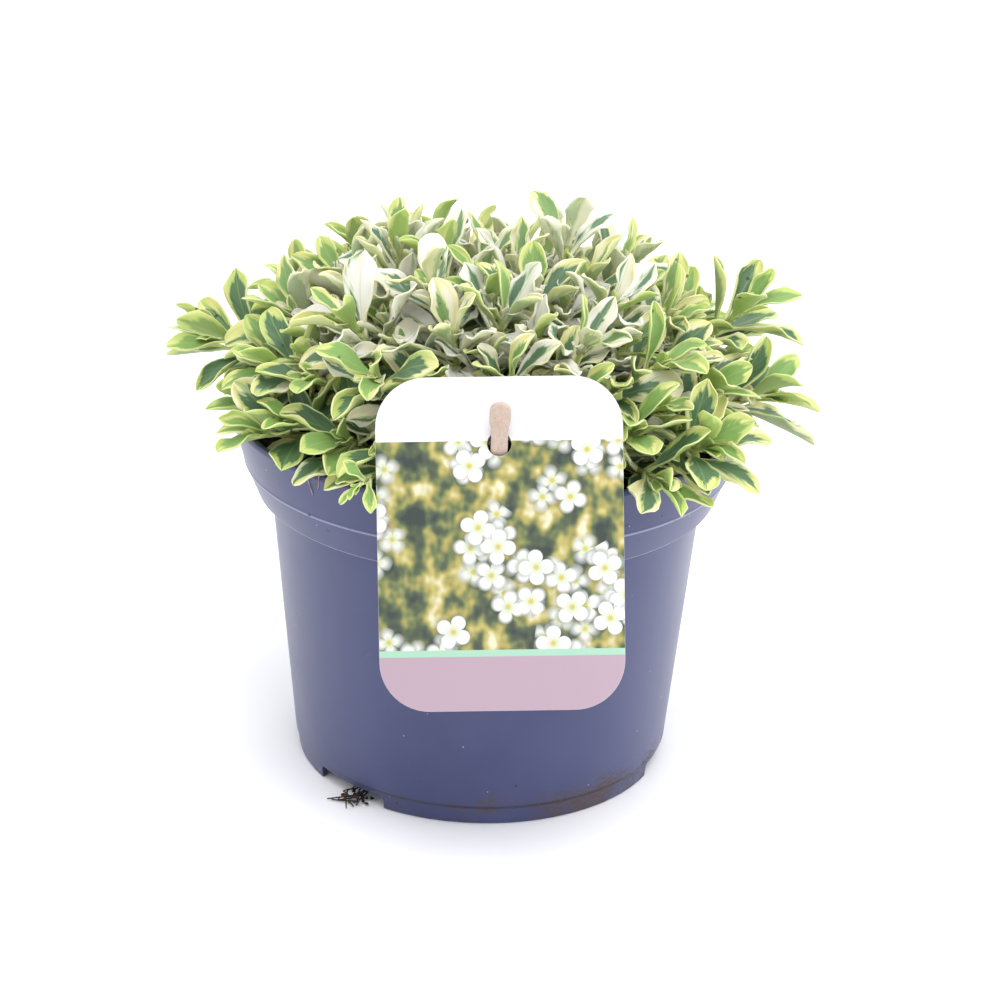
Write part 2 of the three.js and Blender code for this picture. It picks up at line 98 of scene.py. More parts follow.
# Soil: its domed top falls to the edge by a power of the radius, and is uneven in lumps of two sizes
SOIL_TOP = 93
SOIL_CROWN = 2.5
SOIL_EDGE = 91
SOIL_FALL = 2.2
SOIL_SHOULDER = 80.9
SOIL_GAP = 0.3
LUMPS = SimpleNamespace(broad=12, fine=4)
HOLE_DEPTH = 9

# Label card and its stick
CARD = SimpleNamespace(width=61, height=83, thick=0.6, edge=0.12, corner=12.5, above_rim=31.5, hole_up=14.9)
CARD_HOLE = SimpleNamespace(radius=3, cutter=5)
CARD_LEAN = 17.8
CARD_ROLL = 2.4
CARD_AT = Vector((3.5, -70.9, POT_HEIGHT))
STICK = SimpleNamespace(
    width=4.2, head=5.2, thick=1.5, edge=0.3, above=12.5, below=62, neck=8, point=9, lean=16
)
SMOOTH = SimpleNamespace(pot=32, soil=60, card=30, stick=40)

# The rule that sets the shoots and the leaves, as in the solids. Angles are in degrees.
GOLDEN = 137.508
CUSHION = SimpleNamespace(shoots=32, radius=61.5, low=107, rise=32, flatness=0.94, root=0.56, turn=40)
SHOOT_LEAN = SimpleNamespace(middle=6, edge=64, power=1.6)
SHOOT_STRAY = SimpleNamespace(turn=7, height=3, lean=6, side=14, size=0.04)
STEM = SimpleNamespace(radius=1.2, bow=0.5, clear=2)
LEAF = SimpleNamespace(slots=8, length=24.5, width=9.6, petiole=1.8, top_size=0.68, young_rank=0.7)
PITCH = SimpleNamespace(low=76, top=16, stray=8, roam=30, least=8)
BEND = SimpleNamespace(low=16, top=30, stray=26)
FOLD = SimpleNamespace(least=10, most=50)
LEAF_TURN = 26
LEAF_TWIST = 38
LEAF_WAVE = 16
LEAF_STRAY = SimpleNamespace(size=0.1, width=0.14)
LIGHT = SimpleNamespace(turn=0.8, press=0.45)
TRIES = SimpleNamespace(most=24, free=6, shorter=0.016, narrower=0.012)
LEAFY = 11
ROOTED = 1.2
SPINE_STEPS = 16
SINGLES = {
    "right_upper": dict(at=(68, 9, 127), lean=48, side=4, size=1, leaves=8),
    "right_tip": dict(at=(72, -14, 111), lean=68, side=-8, size=1.04, leaves=9),
    "right_star": dict(at=(55, -50, 110), lean=58, side=-50, size=1, leaves=9),
    "right_front": dict(at=(36, -50, 114), lean=50, side=-75, size=1, leaves=8),
    "right_low": dict(at=(43, -57, 103.5), lean=84, side=-62, size=0.95, leaves=8),
    "left_tip": dict(at=(-73, 4, 117), lean=74, side=176, size=1, leaves=9),
    "left_rim": dict(at=(-56, -36, 105), lean=76, side=-150, size=1, leaves=9),
    "left_front": dict(at=(-36, -48, 108), lean=64, side=-118, size=1, leaves=9),
    "front_small": dict(at=(-32, -70, 104.8), lean=96, side=-128, size=0.42, leaves=5),
    "top_right": dict(at=(20, 10, 144), lean=12, side=60, size=1, leaves=7),
    "top_left": dict(at=(-25, -1, 143), lean=10, side=120, size=0.95, leaves=7),
    "back_middle": dict(at=(3, 71, 110), lean=74, side=88, size=1.1, leaves=8),
    "back_left": dict(at=(-40, 57, 110), lean=68, side=124, size=0.95, leaves=8),
    "back_right": dict(at=(44, 54, 111), lean=66, side=52, size=0.95, leaves=8),
}
SAME_PLACE = 0.02

# The blades that all leaves are copied from: their cuts along and across, closer at the tip and the rim
BLADE_ALONG = (0, 0.1, 0.2, 0.31, 0.42, 0.53, 0.63, 0.72, 0.8, 0.87, 0.93, 0.97, 1)
BLADE_ACROSS = (-1, -0.9, -0.64, -0.3, 0, 0.3, 0.64, 0.9, 1)
PLAIN_ALONG = (0, 0.15, 0.34, 0.52, 0.68, 0.82, 0.93, 1)
PLAIN_ACROSS = (-1, -0.9, -0.5, 0, 0.5, 0.9, 1)
TIP_HALF_WIDTH = 0.22
PLAIN_EDGE = dict(point=0.2, teeth=(-1, -1), crimp=0)
LEAF_EDGE = SimpleNamespace(point=(-0.15, 0.32), toothed=0.55, crimp=(3, 10), creamy_crimp=16, creamy_fold=12)

# A still coarser blade tests whether a leaf is clear of the others that start within its reach
PROBE_ALONG = (0.26, 0.39, 0.52, 0.64, 0.76, 0.88, 1)
PROBE_ACROSS = (-1, -0.5, 0, 0.5, 1)
LEAF_REACH = 55

# What stands between the shoots of the solids: lesser side shoots, low leaves and the crowns' tiny ones
SIDE = SimpleNamespace(
    most=72, gap=7.6, draws=70, out=1.05, drop=(0.5, 6), turn=25, size=(0.92, 1.05), leaves=6, first_index=100
)
FILLERS = SimpleNamespace(
    each=8, tries=10, length=(15, 21), width=(7, 9), pitch=(45, 85), turn=30, low=11, below_crown=12,
    tone=(0, 0.3),
)
TINY = SimpleNamespace(each=4, down=(1.6, 0.6), turn=50, length=(9.5, 6), width=(4.2, 2.8), pitch=(34, 8))
SMALL_LEAF = SimpleNamespace(bend=(-10, 40), twist=(-30, 30), fold=(8, 34), wave=(0, 14), petiole=1.2)
STEM_CUTS = 10
STEM_SEED = -1
STEM_TAPER = 0.72
YOUNG_SIZE = 0.5
CREAM_SHARE = 0.62

# How creamy leaves are, by their share of the cushion's radius: creamy in the middle, green at the edge
TONE = SimpleNamespace(middle=1.06, edge=0.1, start=0.55, end=1.0, stray=0.34, greener=0.26)
TONE_OF = SimpleNamespace(rank=0.25, middle_rank=0.4, young=0.35, greener=0.6, inner=0.6)

# Roots: a wisp in the left cut-out, and fibres over the rim as (angle, drop, slip sideways in degrees)
CRUMBS = SimpleNamespace(kinds=4, size=(0.7, 2.0), power=1.3, inset=3, up=0.15, flat=0.75)
WISP = SimpleNamespace(at=4, roots=7, spread=3, reach=7, crumbs=24, crumb_size=(0.6, 1.6), radii=(0.28, 0.15))
RIM_FIBRES = (
    (-142, 3.5, 3), (-139, 2, -2), (-130.5, 6.5, 0.6), (-127, 4, -1), (-52, 5, 1), (-44, 3, 2), (60, 5, 2),
)
RIM_FIBRE_RADII = (0.15, 0.1)
SEEDS = SimpleNamespace(roots=5, shoots=7, soil=11)

# The print: colours of its ground, and blossoms as (cells per mm, petal, turn, softness, least chance)
PRINT_GROUND = (
    (0.3, "#2A3531"), (0.42, "#48543A"), (0.49, "#6C7645"), (0.55, "#958C4B"), (0.62, "#B0A55F"),
    (0.72, "#D2CDAE"),
)
PRINT_BLOSSOMS = ((0.13, 3.2, 0.4, 1.1, 0.58), (0.11, 4, 1.1, 0.5, 0.64), (0.095, 4.4, 2.2, 0.15, 0.66))

# The studio, in metres: lamps as (name, place, size, power, colour)
LAMPS = (
    ("key_lamp", (0.1, -0.55, 1.45), 0.9, 9.5, "#FFFFFF"),
    ("fill_lamp", (1.25, -0.35, 0.6), 1.2, 6, "#F6F8FF"),
    ("back_lamp", (0.2, 1.2, 1.1), 1.2, 4, "#FFFFFF"),
)
LAMPS_AIM = Vector((0, 0, 0.08))
WORLD = SimpleNamespace(colour="#FDFDFF", strength=1.22)
FLOOR_RADIUS = 4
FLOOR_DROP = 0.2 * MM


def rgb(code):
    """Turns an sRGB hex value into the linear colour that Blender's sockets take."""
    channels = [int(code[i:i + 2], 16) / 255 for i in (1, 3, 5)]
    linear = [c / 12.92 if c <= 0.04045 else ((c + 0.055) / 1.055) ** 2.4 for c in channels]
    return (*linear, 1.0)


def mix(a, b, share):
    return a + (b - a) * share


def length_setting(name, description, millimetres):
    """A length in metres for a property group, with its default given in millimetres."""
    return bpy.props.FloatProperty(
        name=name, description=description, default=millimetres * MM, min=0, unit="LENGTH", precision=5
    )


def colour_setting(name, description, code):
    return bpy.props.FloatVectorProperty(
        name=name, description=description, default=rgb(code), size=4, min=0, max=1, subtype="COLOR"
    )


def number_setting(name, description, value, **others):
    return bpy.props.FloatProperty(name=name, description=description, default=value, **others)


class CressStage(bpy.types.PropertyGroup):
    """The camera, the floor and the light."""

    distance: length_setting("Camera distance", "From the camera to the pot's middle", 699)
    elevation: number_setting("Elevation", "Angle above the horizon", math.radians(24.39), subtype="ANGLE")
    yaw: number_setting("Aim right", "Slope of the view to the right", 0.0056)
    pitch: number_setting("Aim up", "Slope of the view upwards", 0.0293)
    roll: number_setting("Roll", "Turn of the camera about its view", math.radians(1.7), subtype="ANGLE")
    lens: number_setting("Focal length", "Focal length in mm", 89.5, subtype="DISTANCE_CAMERA")
    floor: colour_setting("Floor", "Colour of the plain floor", "#FBFBFD")


class CressPot(bpy.types.PropertyGroup):
    """The moulded pot."""

    sides: bpy.props.IntProperty(name="Sides", description="Steps round the pot", default=128, min=24)
    edge: length_setting("Edge radius", "Rounding of the moulded edges", 0.35)
    plastic: colour_setting("Plastic", "Colour of the pot", "#323860")
    # The moulded line's colour is a painted highlight on the collar's raised line and the edge of its foot
    line: colour_setting("Moulded line", "Colour of the rubbed lines of the collar", "#A9ABC0")
    dust: colour_setting("Dust", "Colour of the dried peat on the pot", "#4A382B")


class CressSoil(bpy.types.PropertyGroup):
    """The peat."""

    crumbs: bpy.props.IntProperty(name="Crumbs", description="Loose crumbs on the peat", default=900, min=0)
    roughness: length_setting("Unevenness", "Height of the lumps of the peat", 1.6)
    dark: colour_setting("Peat", "Colour of wet peat", "#17120F")
    light: colour_setting("Dry crumb", "Colour of dry crumbs", "#5B4433")


class CressLabel(bpy.types.PropertyGroup):
    """The card and its stick."""

    card: colour_setting("Card", "Colour of the bare card", "#DCDBDF")
    band: colour_setting("Band", "Colour of the printed band", "#A8929F")
    stripe: colour_setting("Stripe", "Colour of the printed stripe", "#98C2AA")
    wood: colour_setting("Wood", "Colour of the stick", "#BFADA0")


class CressLeaves(bpy.types.PropertyGroup):
    """The leafy shoots."""

    thickness: length_setting("Blade thickness", "Thickness of a blade between rib and rim", 0.42)
    bead: length_setting("Rim height", "How much thicker the blade's rim is", 0.16)
    tooth: length_setting("Tooth", "How far a tooth stands out of the edge", 0.42)
    centre: colour_setting("Centre", "Colour along the middle of a leaf", "#4D6B4E")
    young: colour_setting("Young green", "Colour of the middle of a young leaf", "#81A256")
    lime: colour_setting("Lime margin", "Colour of the margin of outer leaves", "#B4C370")
    yellow: colour_setting("Yellow margin", "Colour of the margin of leaves that turn creamy", "#D6D08E")
    cream: colour_setting("Cream margin", "Colour of the margin of inner leaves", "#E2DCC0")
    white: colour_setting("White margin", "Colour of the margin of the leaves in the light", "#DFDDD7")
    rim: colour_setting("Rim", "Colour of the thin raised rim", "#DADFB4")
    stem: colour_setting("Stem", "Colour of the stems", "#A3B060")


def lengths_along(path):
    """How far along a path each of its points lies."""
    return np.concatenate([[0], np.cumsum(np.linalg.norm(np.diff(path, axis=0), axis=1))])


def between(places, marks, rows):
    """Rows that belong to some marks, interpolated at the places between them."""
    return np.stack([np.interp(places, marks, column) for column in rows.T], axis=-1)


def deselect():
    """Leaves edit mode and selects nothing, because an operator acts on all that is selected."""
    if bpy.context.object and bpy.context.object.mode != "OBJECT":
        bpy.ops.object.mode_set(mode="OBJECT")
    bpy.ops.object.select_all(action="DESELECT")


def added(operator, **settings):
    """What an operator adds."""
    deselect()
    operator(**settings)
    return bpy.context.object


def activate(*pieces):
    deselect()
    for piece in pieces:
        piece.select_set(True)
    bpy.context.view_layer.objects.active = pieces[0]


def joined(*pieces):
    """The first of some pieces, with the others joined to it."""
    activate(*pieces)
    if len(pieces) > 1:
        bpy.ops.object.join()
    return pieces[0]


def apply_modifier(piece, kind, **settings):
    """Adds a modifier with its settings and applies it at once."""
    activate(piece)
    modifier = piece.modifiers.new(kind.title(), kind)
    for key, value in settings.items():
        setattr(modifier, key, value)
    bpy.ops.object.modifier_apply(modifier=modifier.name)


def link_mesh(name, mesh):
    """Adds a mesh to the scene as an object at the origin."""
    piece = bpy.data.objects.new(name, mesh)
    bpy.context.collection.objects.link(piece)
    return piece


def points_of(mesh):
    """The points of a mesh as an array of rows."""
    flat = np.empty(len(mesh.vertices) * 3)
    mesh.vertices.foreach_get("co", flat)
    return flat.reshape(-1, 3)


def finish_piece(piece, name, material, slot, *nodes):
    """Names a piece, gives it its finish, lets it ride on the one body and stand for its CAD nodes."""
    piece.name = name
    piece.data.name = name
    piece.data.materials.clear()
    piece.data.materials.append(material)
    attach(piece, "root")
    if nodes:
        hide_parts(*nodes)


class Finish:
    """A new material. Each method adds one kind of shader node, or a few, and gives what comes out."""

    def __init__(self, name):
        self.material = bpy.data.materials.new(name)
        self.material.use_nodes = True
        self.tree = self.material.node_tree

    def fill(self, node, inputs):
        """Fills inputs with values, hex colours, outputs or other nodes."""
        for key, value in inputs.items():
            if isinstance(value, str):
                value = rgb(value)
            if isinstance(value, bpy.types.Node):
                value = next(out for out in value.outputs if out.enabled)
            if isinstance(value, bpy.types.NodeSocket):
                self.tree.links.new(value, node.inputs[key])
            else:
                node.inputs[key].default_value = value
        return node

    def add(self, kind, inputs, **settings):
        node = self.tree.nodes.new("ShaderNode" + kind)
        for key, value in settings.items():
            setattr(node, key, value)
        return self.fill(node, inputs)

    def spot(self):
        """The place on the piece, in metres."""
        return self.add("TexCoord", {}).outputs["Object"]

    def split(self, value):
        """The x, y and z of a place."""
        return self.add("SeparateXYZ", {0: value}).outputs[:3]

    def math(self, operation, *values):
        return self.add("Math", dict(enumerate(values)), operation=operation)

    def times(self, first, second):
        return self.math("MULTIPLY", first, second)

    def scaled(self, value, factor, plus):
        return self.math("MULTIPLY_ADD", value, factor, plus)

    def vector(self, operation, *values):
        return self.add("VectorMath", dict(enumerate(values)), operation=operation)

    def span(self, value, start, end, first, last, kind="LINEAR"):
        """Turns start to end into first to last, and holds it there beyond them."""
        inputs = {0: value, 1: start, 2: end, 3: first, 4: last}
        return self.add("MapRange", inputs, interpolation_type=kind)

    def smooth(self, *values):
        return self.span(*values, kind="SMOOTHSTEP")

    def mix(self, share, first, second):
        return self.add("Mix", {0: share, 6: first, 7: second}, data_type="RGBA")

    def noise(self, place, scale, detail, roughness=0.5, dimensions="3D"):
        inputs = {"Vector": place, "Scale": scale, "Detail": detail, "Roughness": roughness}
        return self.add("TexNoise", inputs, noise_dimensions=dimensions)

    def turned(self, place, angle):
        return self.add("VectorRotate", {"Vector": place, "Angle": angle}, rotation_type="Z_AXIS")

    def ramp(self, value, stops):
        """A colour ramp of (place, colour) stops."""
        node = self.add("ValToRGB", {0: value})
        while len(node.color_ramp.elements) < len(stops):
            node.color_ramp.elements.new(0.5)
        for element, (where, colour) in zip(node.color_ramp.elements, stops):
            element.position = where
            element.color = rgb(colour) if isinstance(colour, str) else colour
        return node.outputs[0]

    def dotted(self, colour, spot, scale, channel, least, size, strength, dot):
        """Dots over a colour, at most one to a cell of 1 / scale metres: where its random number is high."""
        cells = self.add("TexVoronoi", {"Vector": spot, "Scale": scale})
        numbers = self.add("SeparateColor", {0: cells.outputs["Color"]}).outputs
        some = self.math("GREATER_THAN", numbers[channel], least)
        near = self.span(cells.outputs["Distance"], *size, strength, 0)
        return self.mix(self.times(near, some), colour, dot)

    def done(self, colour, roughness, relief=None, strength=0, depth=0, others=None):
        """Sets the material's shader and gives the material. The depth of the relief is in mm."""
        inputs = {"Base Color": colour, "Roughness": roughness, **(others or {})}
        if relief is not None:
            bump = {"Strength": strength, "Distance": depth * MM, "Height": relief}
            inputs["Normal"] = self.add("Bump", bump)
        self.fill(self.tree.nodes["Principled BSDF"], inputs)
        return self.material


def draw_outline(name, outline):
    """Draws a line through x, y, z points in mm, by extruding one vertex from point to point."""
    piece = added(bpy.ops.mesh.primitive_plane_add, size=MM)
    piece.name = name
    bpy.ops.object.mode_set(mode="EDIT")
    bpy.ops.mesh.select_all(action="SELECT")
    bpy.ops.mesh.merge(type="CENTER")
    bpy.ops.transform.translate(value=Vector(outline[0]) * MM)
    for before, after in zip(outline, outline[1:]):
        step = (Vector(after) - Vector(before)) * MM
        bpy.ops.mesh.extrude_region_move(TRANSFORM_OT_translate={"value": step})
    return piece


def spun(name, outline, sides):
    """Spins a line of radius, height points in mm once round Z."""
    piece = draw_outline(name, [(r, 0, z) for r, z in outline])
    bpy.ops.mesh.select_all(action="SELECT")
    bpy.ops.mesh.spin(steps=sides, angle=2 * math.pi, center=(0, 0, 0), axis=(0, 0, 1))
    bpy.ops.mesh.select_all(action="SELECT")
    bpy.ops.mesh.remove_doubles(threshold=0.01 * MM)
    bpy.ops.mesh.normals_make_consistent(inside=False)
    bpy.ops.object.mode_set(mode="OBJECT")
    return piece


def sheet_cut(name, outline, thick):
    """A flat closed outline of x, y points in mm, filled and extruded to its thickness."""
    piece = draw_outline(name, [(x, y, 0) for x, y in outline])
    bpy.ops.mesh.select_all(action="SELECT")
    bpy.ops.mesh.edge_face_add()
    bpy.ops.mesh.extrude_region_move(TRANSFORM_OT_translate={"value": (0, 0, thick * MM)})
    bpy.ops.mesh.select_all(action="SELECT")
    bpy.ops.mesh.normals_make_consistent(inside=False)
    bpy.ops.object.mode_set(mode="OBJECT")
    return piece


def rounded(points, radius, steps=3):
    """Rounds the inner corners of a line of radius, height points with small arcs."""
    line = [points[0]]
    for before, corner, after in zip(points, points[1:], points[2:]):
        here = Vector(corner)
        back = Vector(before) - here
        ahead = Vector(after) - here
        reach = min(radius, 0.4 * back.length, 0.4 * ahead.length)
        start = here + back.normalized() * reach
        end = here + ahead.normalized() * reach
        for k in range(steps + 1):
            s = k / steps
            line.append(tuple((1 - s) ** 2 * start + 2 * s * (1 - s) * here + s * s * end))
    return line + [points[-1]]


def cut_with(piece, cutters):
    """Cuts a piece by the joined cutters, which are removed."""
    cutter = joined(*cutters)
    apply_modifier(piece, "BOOLEAN", operation="DIFFERENCE", solver="EXACT", object=cutter)
    bpy.data.objects.remove(cutter)


def smooth_by_angle(piece, degrees):
    """Shades a piece smooth but for edges sharper than an angle."""
    activate(piece)
    bpy.ops.object.shade_smooth_by_angle(angle=math.radians(degrees))


def soil_height(r):
    """The height of the peat's even top at a radius."""
    return mix(SOIL_TOP + SOIL_CROWN, SOIL_EDGE, (r / COLLAR_LINE.r) ** SOIL_FALL)


def lump_height(x, y, roughness):
    """How far the peat's top stands over its even shape."""
    spot = Vector((x, y, 0))
    return roughness * (noise.noise(spot / LUMPS.broad) + 0.5 * noise.noise(spot / LUMPS.fine))


def placed(matrix):
    """A placing matrix whose shift is in millimetres, for a mesh in metres."""
    shift = matrix.translation * MM
    matrix = matrix.copy()
    matrix.translation = shift
    return matrix


def turned(degrees, axis):
    return Matrix.Rotation(math.radians(degrees), 4, axis)


def card_matrix():
    """Stands the card's drawing plane, x across and y up, against the rim."""
    return Matrix.Translation(CARD_AT) @ turned(-CARD_LEAN, "X") @ turned(90, "X") @ turned(CARD_ROLL, "Z")


def stick_matrix():
    """Stands the stick's drawing plane in the card's hole."""
    hole = card_matrix() @ Vector((0, CARD.hole_up, CARD.thick / 2))
    stand = Matrix.Translation(hole) @ turned(STICK.lean, "X") @ turned(90, "X")
    return stand @ Matrix.Translation((0, 0, -STICK.thick / 2))


def arc(x, y, radius, start, end, steps):
    """Points of an arc from one angle in degrees to another."""
    angles = [math.radians(start + (end - start) * k / steps) for k in range(steps + 1)]
    return [(x + radius * math.cos(a), y + radius * math.sin(a)) for a in angles]


def card_outline():
    w = CARD.width / 2
    c = CARD.corner
    top = CARD.above_rim
    low = top - CARD.height
    corners = ((w - c, top - c), (c - w, top - c), (c - w, low + c), (w - c, low + c))
    return [point for i, (x, y) in enumerate(corners) for point in arc(x, y, c, 90 * i, 90 * i + 90, 12)]


def stick_outline():
    """A pointed foot, straight sides, and a head that swells a little over a neck."""
    half = STICK.width / 2
    head = STICK.head / 2
    neck = STICK.above - STICK.neck
    swell = [(mix(half, head, s * s * (3 - 2 * s)), neck + 3 * s) for s in (0, 0.25, 0.5, 0.75, 1)]
    side = [(half, STICK.point - STICK.below), *swell]
    crown = arc(0, STICK.above - head, head, 0, 180, 14)
    return [(0, -STICK.below), *side, *crown, *[(-x, y) for x, y in reversed(side)]]


def pot_outline(edge):
    """The pot's half section: floor, skirt, wall, collar and rim, and back down the inside."""
    z = FLOOR.over

    def inside(height):
        lines = (FOOT_LINE.z, COLLAR_FOOT.z, COLLAR_FOOT.z, COLLAR_LINE.z, POT_HEIGHT)
        radii = (FOOT_LINE.r, BODY_TOP_RADIUS, COLLAR_FOOT.r, COLLAR_LINE.r, RIM_RADIUS)
        return np.interp(height, lines, radii) - WALL

    outside = [
        (0, FLOOR.under), (DRAIN_LEDGE, FLOOR.under), (FOOT_RADIUS - SKIRT_WALL, FLOOR.under),
        (FOOT_RADIUS - SKIRT_WALL, 0), (FOOT_RADIUS, 0), (FOOT_LINE.r - 0.5, FOOT_LINE.z - 0.3),
        (FOOT_LINE.r + 0.05, FOOT_LINE.z), (BODY_TOP_RADIUS, COLLAR_FOOT.z + 0.6),
        (COLLAR_FOOT.r - 0.7, COLLAR_FOOT.z), (COLLAR_FOOT.r + 0.1, COLLAR_FOOT.z + 0.7),
        (COLLAR_LINE.r - 0.15, COLLAR_LINE.z - 0.5), (COLLAR_LINE.r + 0.35, COLLAR_LINE.z),
        (COLLAR_LINE.r + 0.25, COLLAR_LINE.z + 0.6), (RIM_RADIUS, POT_HEIGHT - 1.2),
        (RIM_RADIUS - 0.5, POT_HEIGHT),
    ]
    back = [
        (RIM_RADIUS - LIP_WIDTH, POT_HEIGHT), (inside(POT_HEIGHT - 2), POT_HEIGHT - 2),
        (inside(COLLAR_LINE.z), COLLAR_LINE.z), (inside(COLLAR_FOOT.z + LEDGE), COLLAR_FOOT.z + LEDGE + 0.8),
        (BODY_TOP_RADIUS - WALL, COLLAR_FOOT.z + LEDGE), (inside(z), z), (DRAIN_LEDGE, z), (0, z),
    ]
    return rounded(outside + back, edge)


def ring_point(radius, degrees, height):
    """The point in mm at a radius and an angle round the pot."""
    return (radius * math.cos(math.radians(degrees)), radius * math.sin(math.radians(degrees)), height)


def pin(sides, radius, depth, place):
    """A round pin along Z, about a place."""
    piece = added(
        bpy.ops.mesh.primitive_cylinder_add, vertices=sides, radius=radius, depth=depth, location=place
    )
    bpy.ops.object.transform_apply(location=True, rotation=True, scale=True)
    return piece


def pot_cutters():
    """Blocks for the cut-outs of the skirt and pins for the drain holes."""
    cutters = []
    wide = 2 * FOOT_RADIUS * math.sin(math.radians(NOTCHES.width / 2))
    for i in range(NOTCHES.count):
        block = added(bpy.ops.mesh.primitive_cube_add, size=MM)
        block.data.transform(Matrix.Diagonal((NOTCH_CUTTER.deep, wide, FLOOR.under + NOTCH_CUTTER.over, 1)))
        bpy.ops.object.mode_set(mode="EDIT")
        bpy.ops.mesh.select_all(action="SELECT")
        bpy.ops.mesh.bevel(offset=NOTCH_CUTTER.edge * MM, segments=4, affect="EDGES")
        bpy.ops.object.mode_set(mode="OBJECT")
        block.data.transform(placed(Matrix.Translation((FOOT_RADIUS, 0, NOTCH_CUTTER.up))))
        block.data.transform(turned(NOTCHES.first + i * 360 / NOTCHES.count, "Z"))
        cutters.append(block)
    for i in range(DRAINS.count):
        place = ring_point(DRAINS.ring, DRAINS.first + i * 360 / DRAINS.count, FLOOR.over)
        cutters.append(pin(32, DRAINS.radius * MM, DRAINS.cutter * MM, Vector(place) * MM))
    return cutters


def soil_outline():
    """The root ball's half section, with close rings over its top so that it can be made uneven."""
    top = SOIL_TOP + SOIL_CROWN
    edge = COLLAR_LINE.r + (SOIL_EDGE - COLLAR_LINE.z) * 0.25 - WALL - 0.35
    ledge = COLLAR_FOOT.r - WALL - 0.35
    bottom = FLOOR.over + SOIL_GAP
    body = BODY_TOP_RADIUS - WALL - SOIL_GAP
    side = [(0, bottom), (26, bottom), (FOOT_LINE.r - WALL - 0.4, bottom)]
    side += [(body, COLLAR_FOOT.z + 1), (body, SOIL_SHOULDER), (ledge, SOIL_SHOULDER), (edge, SOIL_EDGE)]
    rings = [(r, mix(top, SOIL_EDGE, (r / edge) ** SOIL_FALL)) for r in np.linspace(edge, 0, 34)[1:]]
    return side + rings


def crumb_masters(rng):
    """A few broken lumps, each an icosphere pushed out of round."""
    masters = []
    for _ in range(CRUMBS.kinds):
        lump = added(bpy.ops.mesh.primitive_ico_sphere_add, subdivisions=1, radius=0.5)
        for vertex in lump.data.vertices:
            vertex.co = vertex.co * rng.uniform(0.6, 1.25)
        masters.append(lump)
    return masters


def crumbs_at(spots, rng):
    """Crumbs at (place, size) spots in mm, each turned its own way and a little flat, joined to one mesh."""
    masters = crumb_masters(rng)
    copies = []
    for place, size in spots:
        mesh = masters[rng.integers(len(masters))].data.copy()
        turn = Matrix.Rotation(rng.uniform(0, 6.28), 4, "Z") @ Matrix.Rotation(rng.uniform(0, 3.14), 4, "X")
        scale = Matrix.Diagonal((size * MM, size * MM * rng.uniform(0.6, 1), size * MM * CRUMBS.flat, 1))
        mesh.transform(Matrix.Translation(Vector(place) * MM) @ scale @ turn)
        copies.append(link_mesh("crumb", mesh))
    piece = joined(*copies)
    for master in masters:
        bpy.data.objects.remove(master)
    return piece


def draw(shoot, leaf, attempt, purpose):
    """A repeatable draw from 0 to 1, the same as in the solids."""
    wave = math.sin(shoot * 127.1 + leaf * 311.7 + attempt * 74.7 + purpose * 269.5) * 43758.5453
    return wave - math.floor(wave)


def spread(*keys):
    return 2 * draw(*keys) - 1


def dome_point(share, angle, lift):
    """A place on the domed cushion, at a share of its radius, lifted or lowered."""
    r = CUSHION.radius * share
    dome = math.sqrt(max(1 - CUSHION.flatness * share * share, 0))
    return np.array([r * math.cos(angle), r * math.sin(angle), CUSHION.low + CUSHION.rise * dome + lift])


def dome_lean(share):
    return mix(SHOOT_LEAN.middle, SHOOT_LEAN.edge, share**SHOOT_LEAN.power)


def direction(lean, side):
    """The direction that leans away from upright towards a side."""
    across = math.sin(lean)
    return np.array([across * math.cos(side), across * math.sin(side), math.cos(lean)])


def cushion_shoot(i):
    """A shoot of the domed cushion, placed by the golden angle."""
    share = math.sqrt((i + 0.5) / CUSHION.shoots)
    angle = math.radians(CUSHION.turn + i * GOLDEN + SHOOT_STRAY.turn * spread(i, 0, 0, 1))
    return SimpleNamespace(
        name=f"shoot_{i + 1:02d}",
        crown=dome_point(share, angle, SHOOT_STRAY.height * spread(i, 0, 0, 2)),
        lean=math.radians(dome_lean(share) + SHOOT_STRAY.lean * spread(i, 0, 0, 3)),
        side=angle + math.radians(SHOOT_STRAY.side * spread(i, 0, 0, 4)),
        size=1 + SHOOT_STRAY.size * spread(i, 0, 0, 5),
        leaves=LEAF.slots,
    )


def shoot_list():
    """Every shoot of the solids: the cushion, then those that stand out of it."""
    shoots = [cushion_shoot(i) for i in range(CUSHION.shoots)]
    for name, single in SINGLES.items():
        shoots.append(SimpleNamespace(
            name="shoot_" + name,
            crown=np.array(single["at"], float),
            lean=math.radians(single["lean"]),
            side=math.radians(single["side"]),
            size=single["size"],
            leaves=single["leaves"],
        ))
    for index, shoot in enumerate(shoots):
        shoot.index = index
        shoot.root = shoot.crown[:2] * CUSHION.root
        shoot.axis = direction(shoot.lean, shoot.side)
    return shoots


def leaf_directions(axis, azimuth, pitch):
    """The direction that a leaf starts in, and the one across it once its face is turned to the light."""
    helper = UP if abs(axis[2]) < 0.9 else np.array([1.0, 0.0, 0.0])
    sideways = np.cross(axis, helper)
    sideways /= np.linalg.norm(sideways)
    radial = sideways * math.cos(azimuth) + np.cross(axis, sideways) * math.sin(azimuth)
    angle = pitch * (1 - LIGHT.press * max(-radial[2], 0))
    ahead = axis * math.cos(angle) + radial * math.sin(angle)
    across = np.cross(axis, radial)
    face = np.cross(ahead, across)
    light = UP - ahead * ahead[2]
    turn = math.atan2(np.cross(face, light) @ ahead, face @ light)
    turn *= LIGHT.turn * np.linalg.norm(light)
    return ahead, across * math.cos(turn) + np.cross(ahead, across) * math.sin(turn)


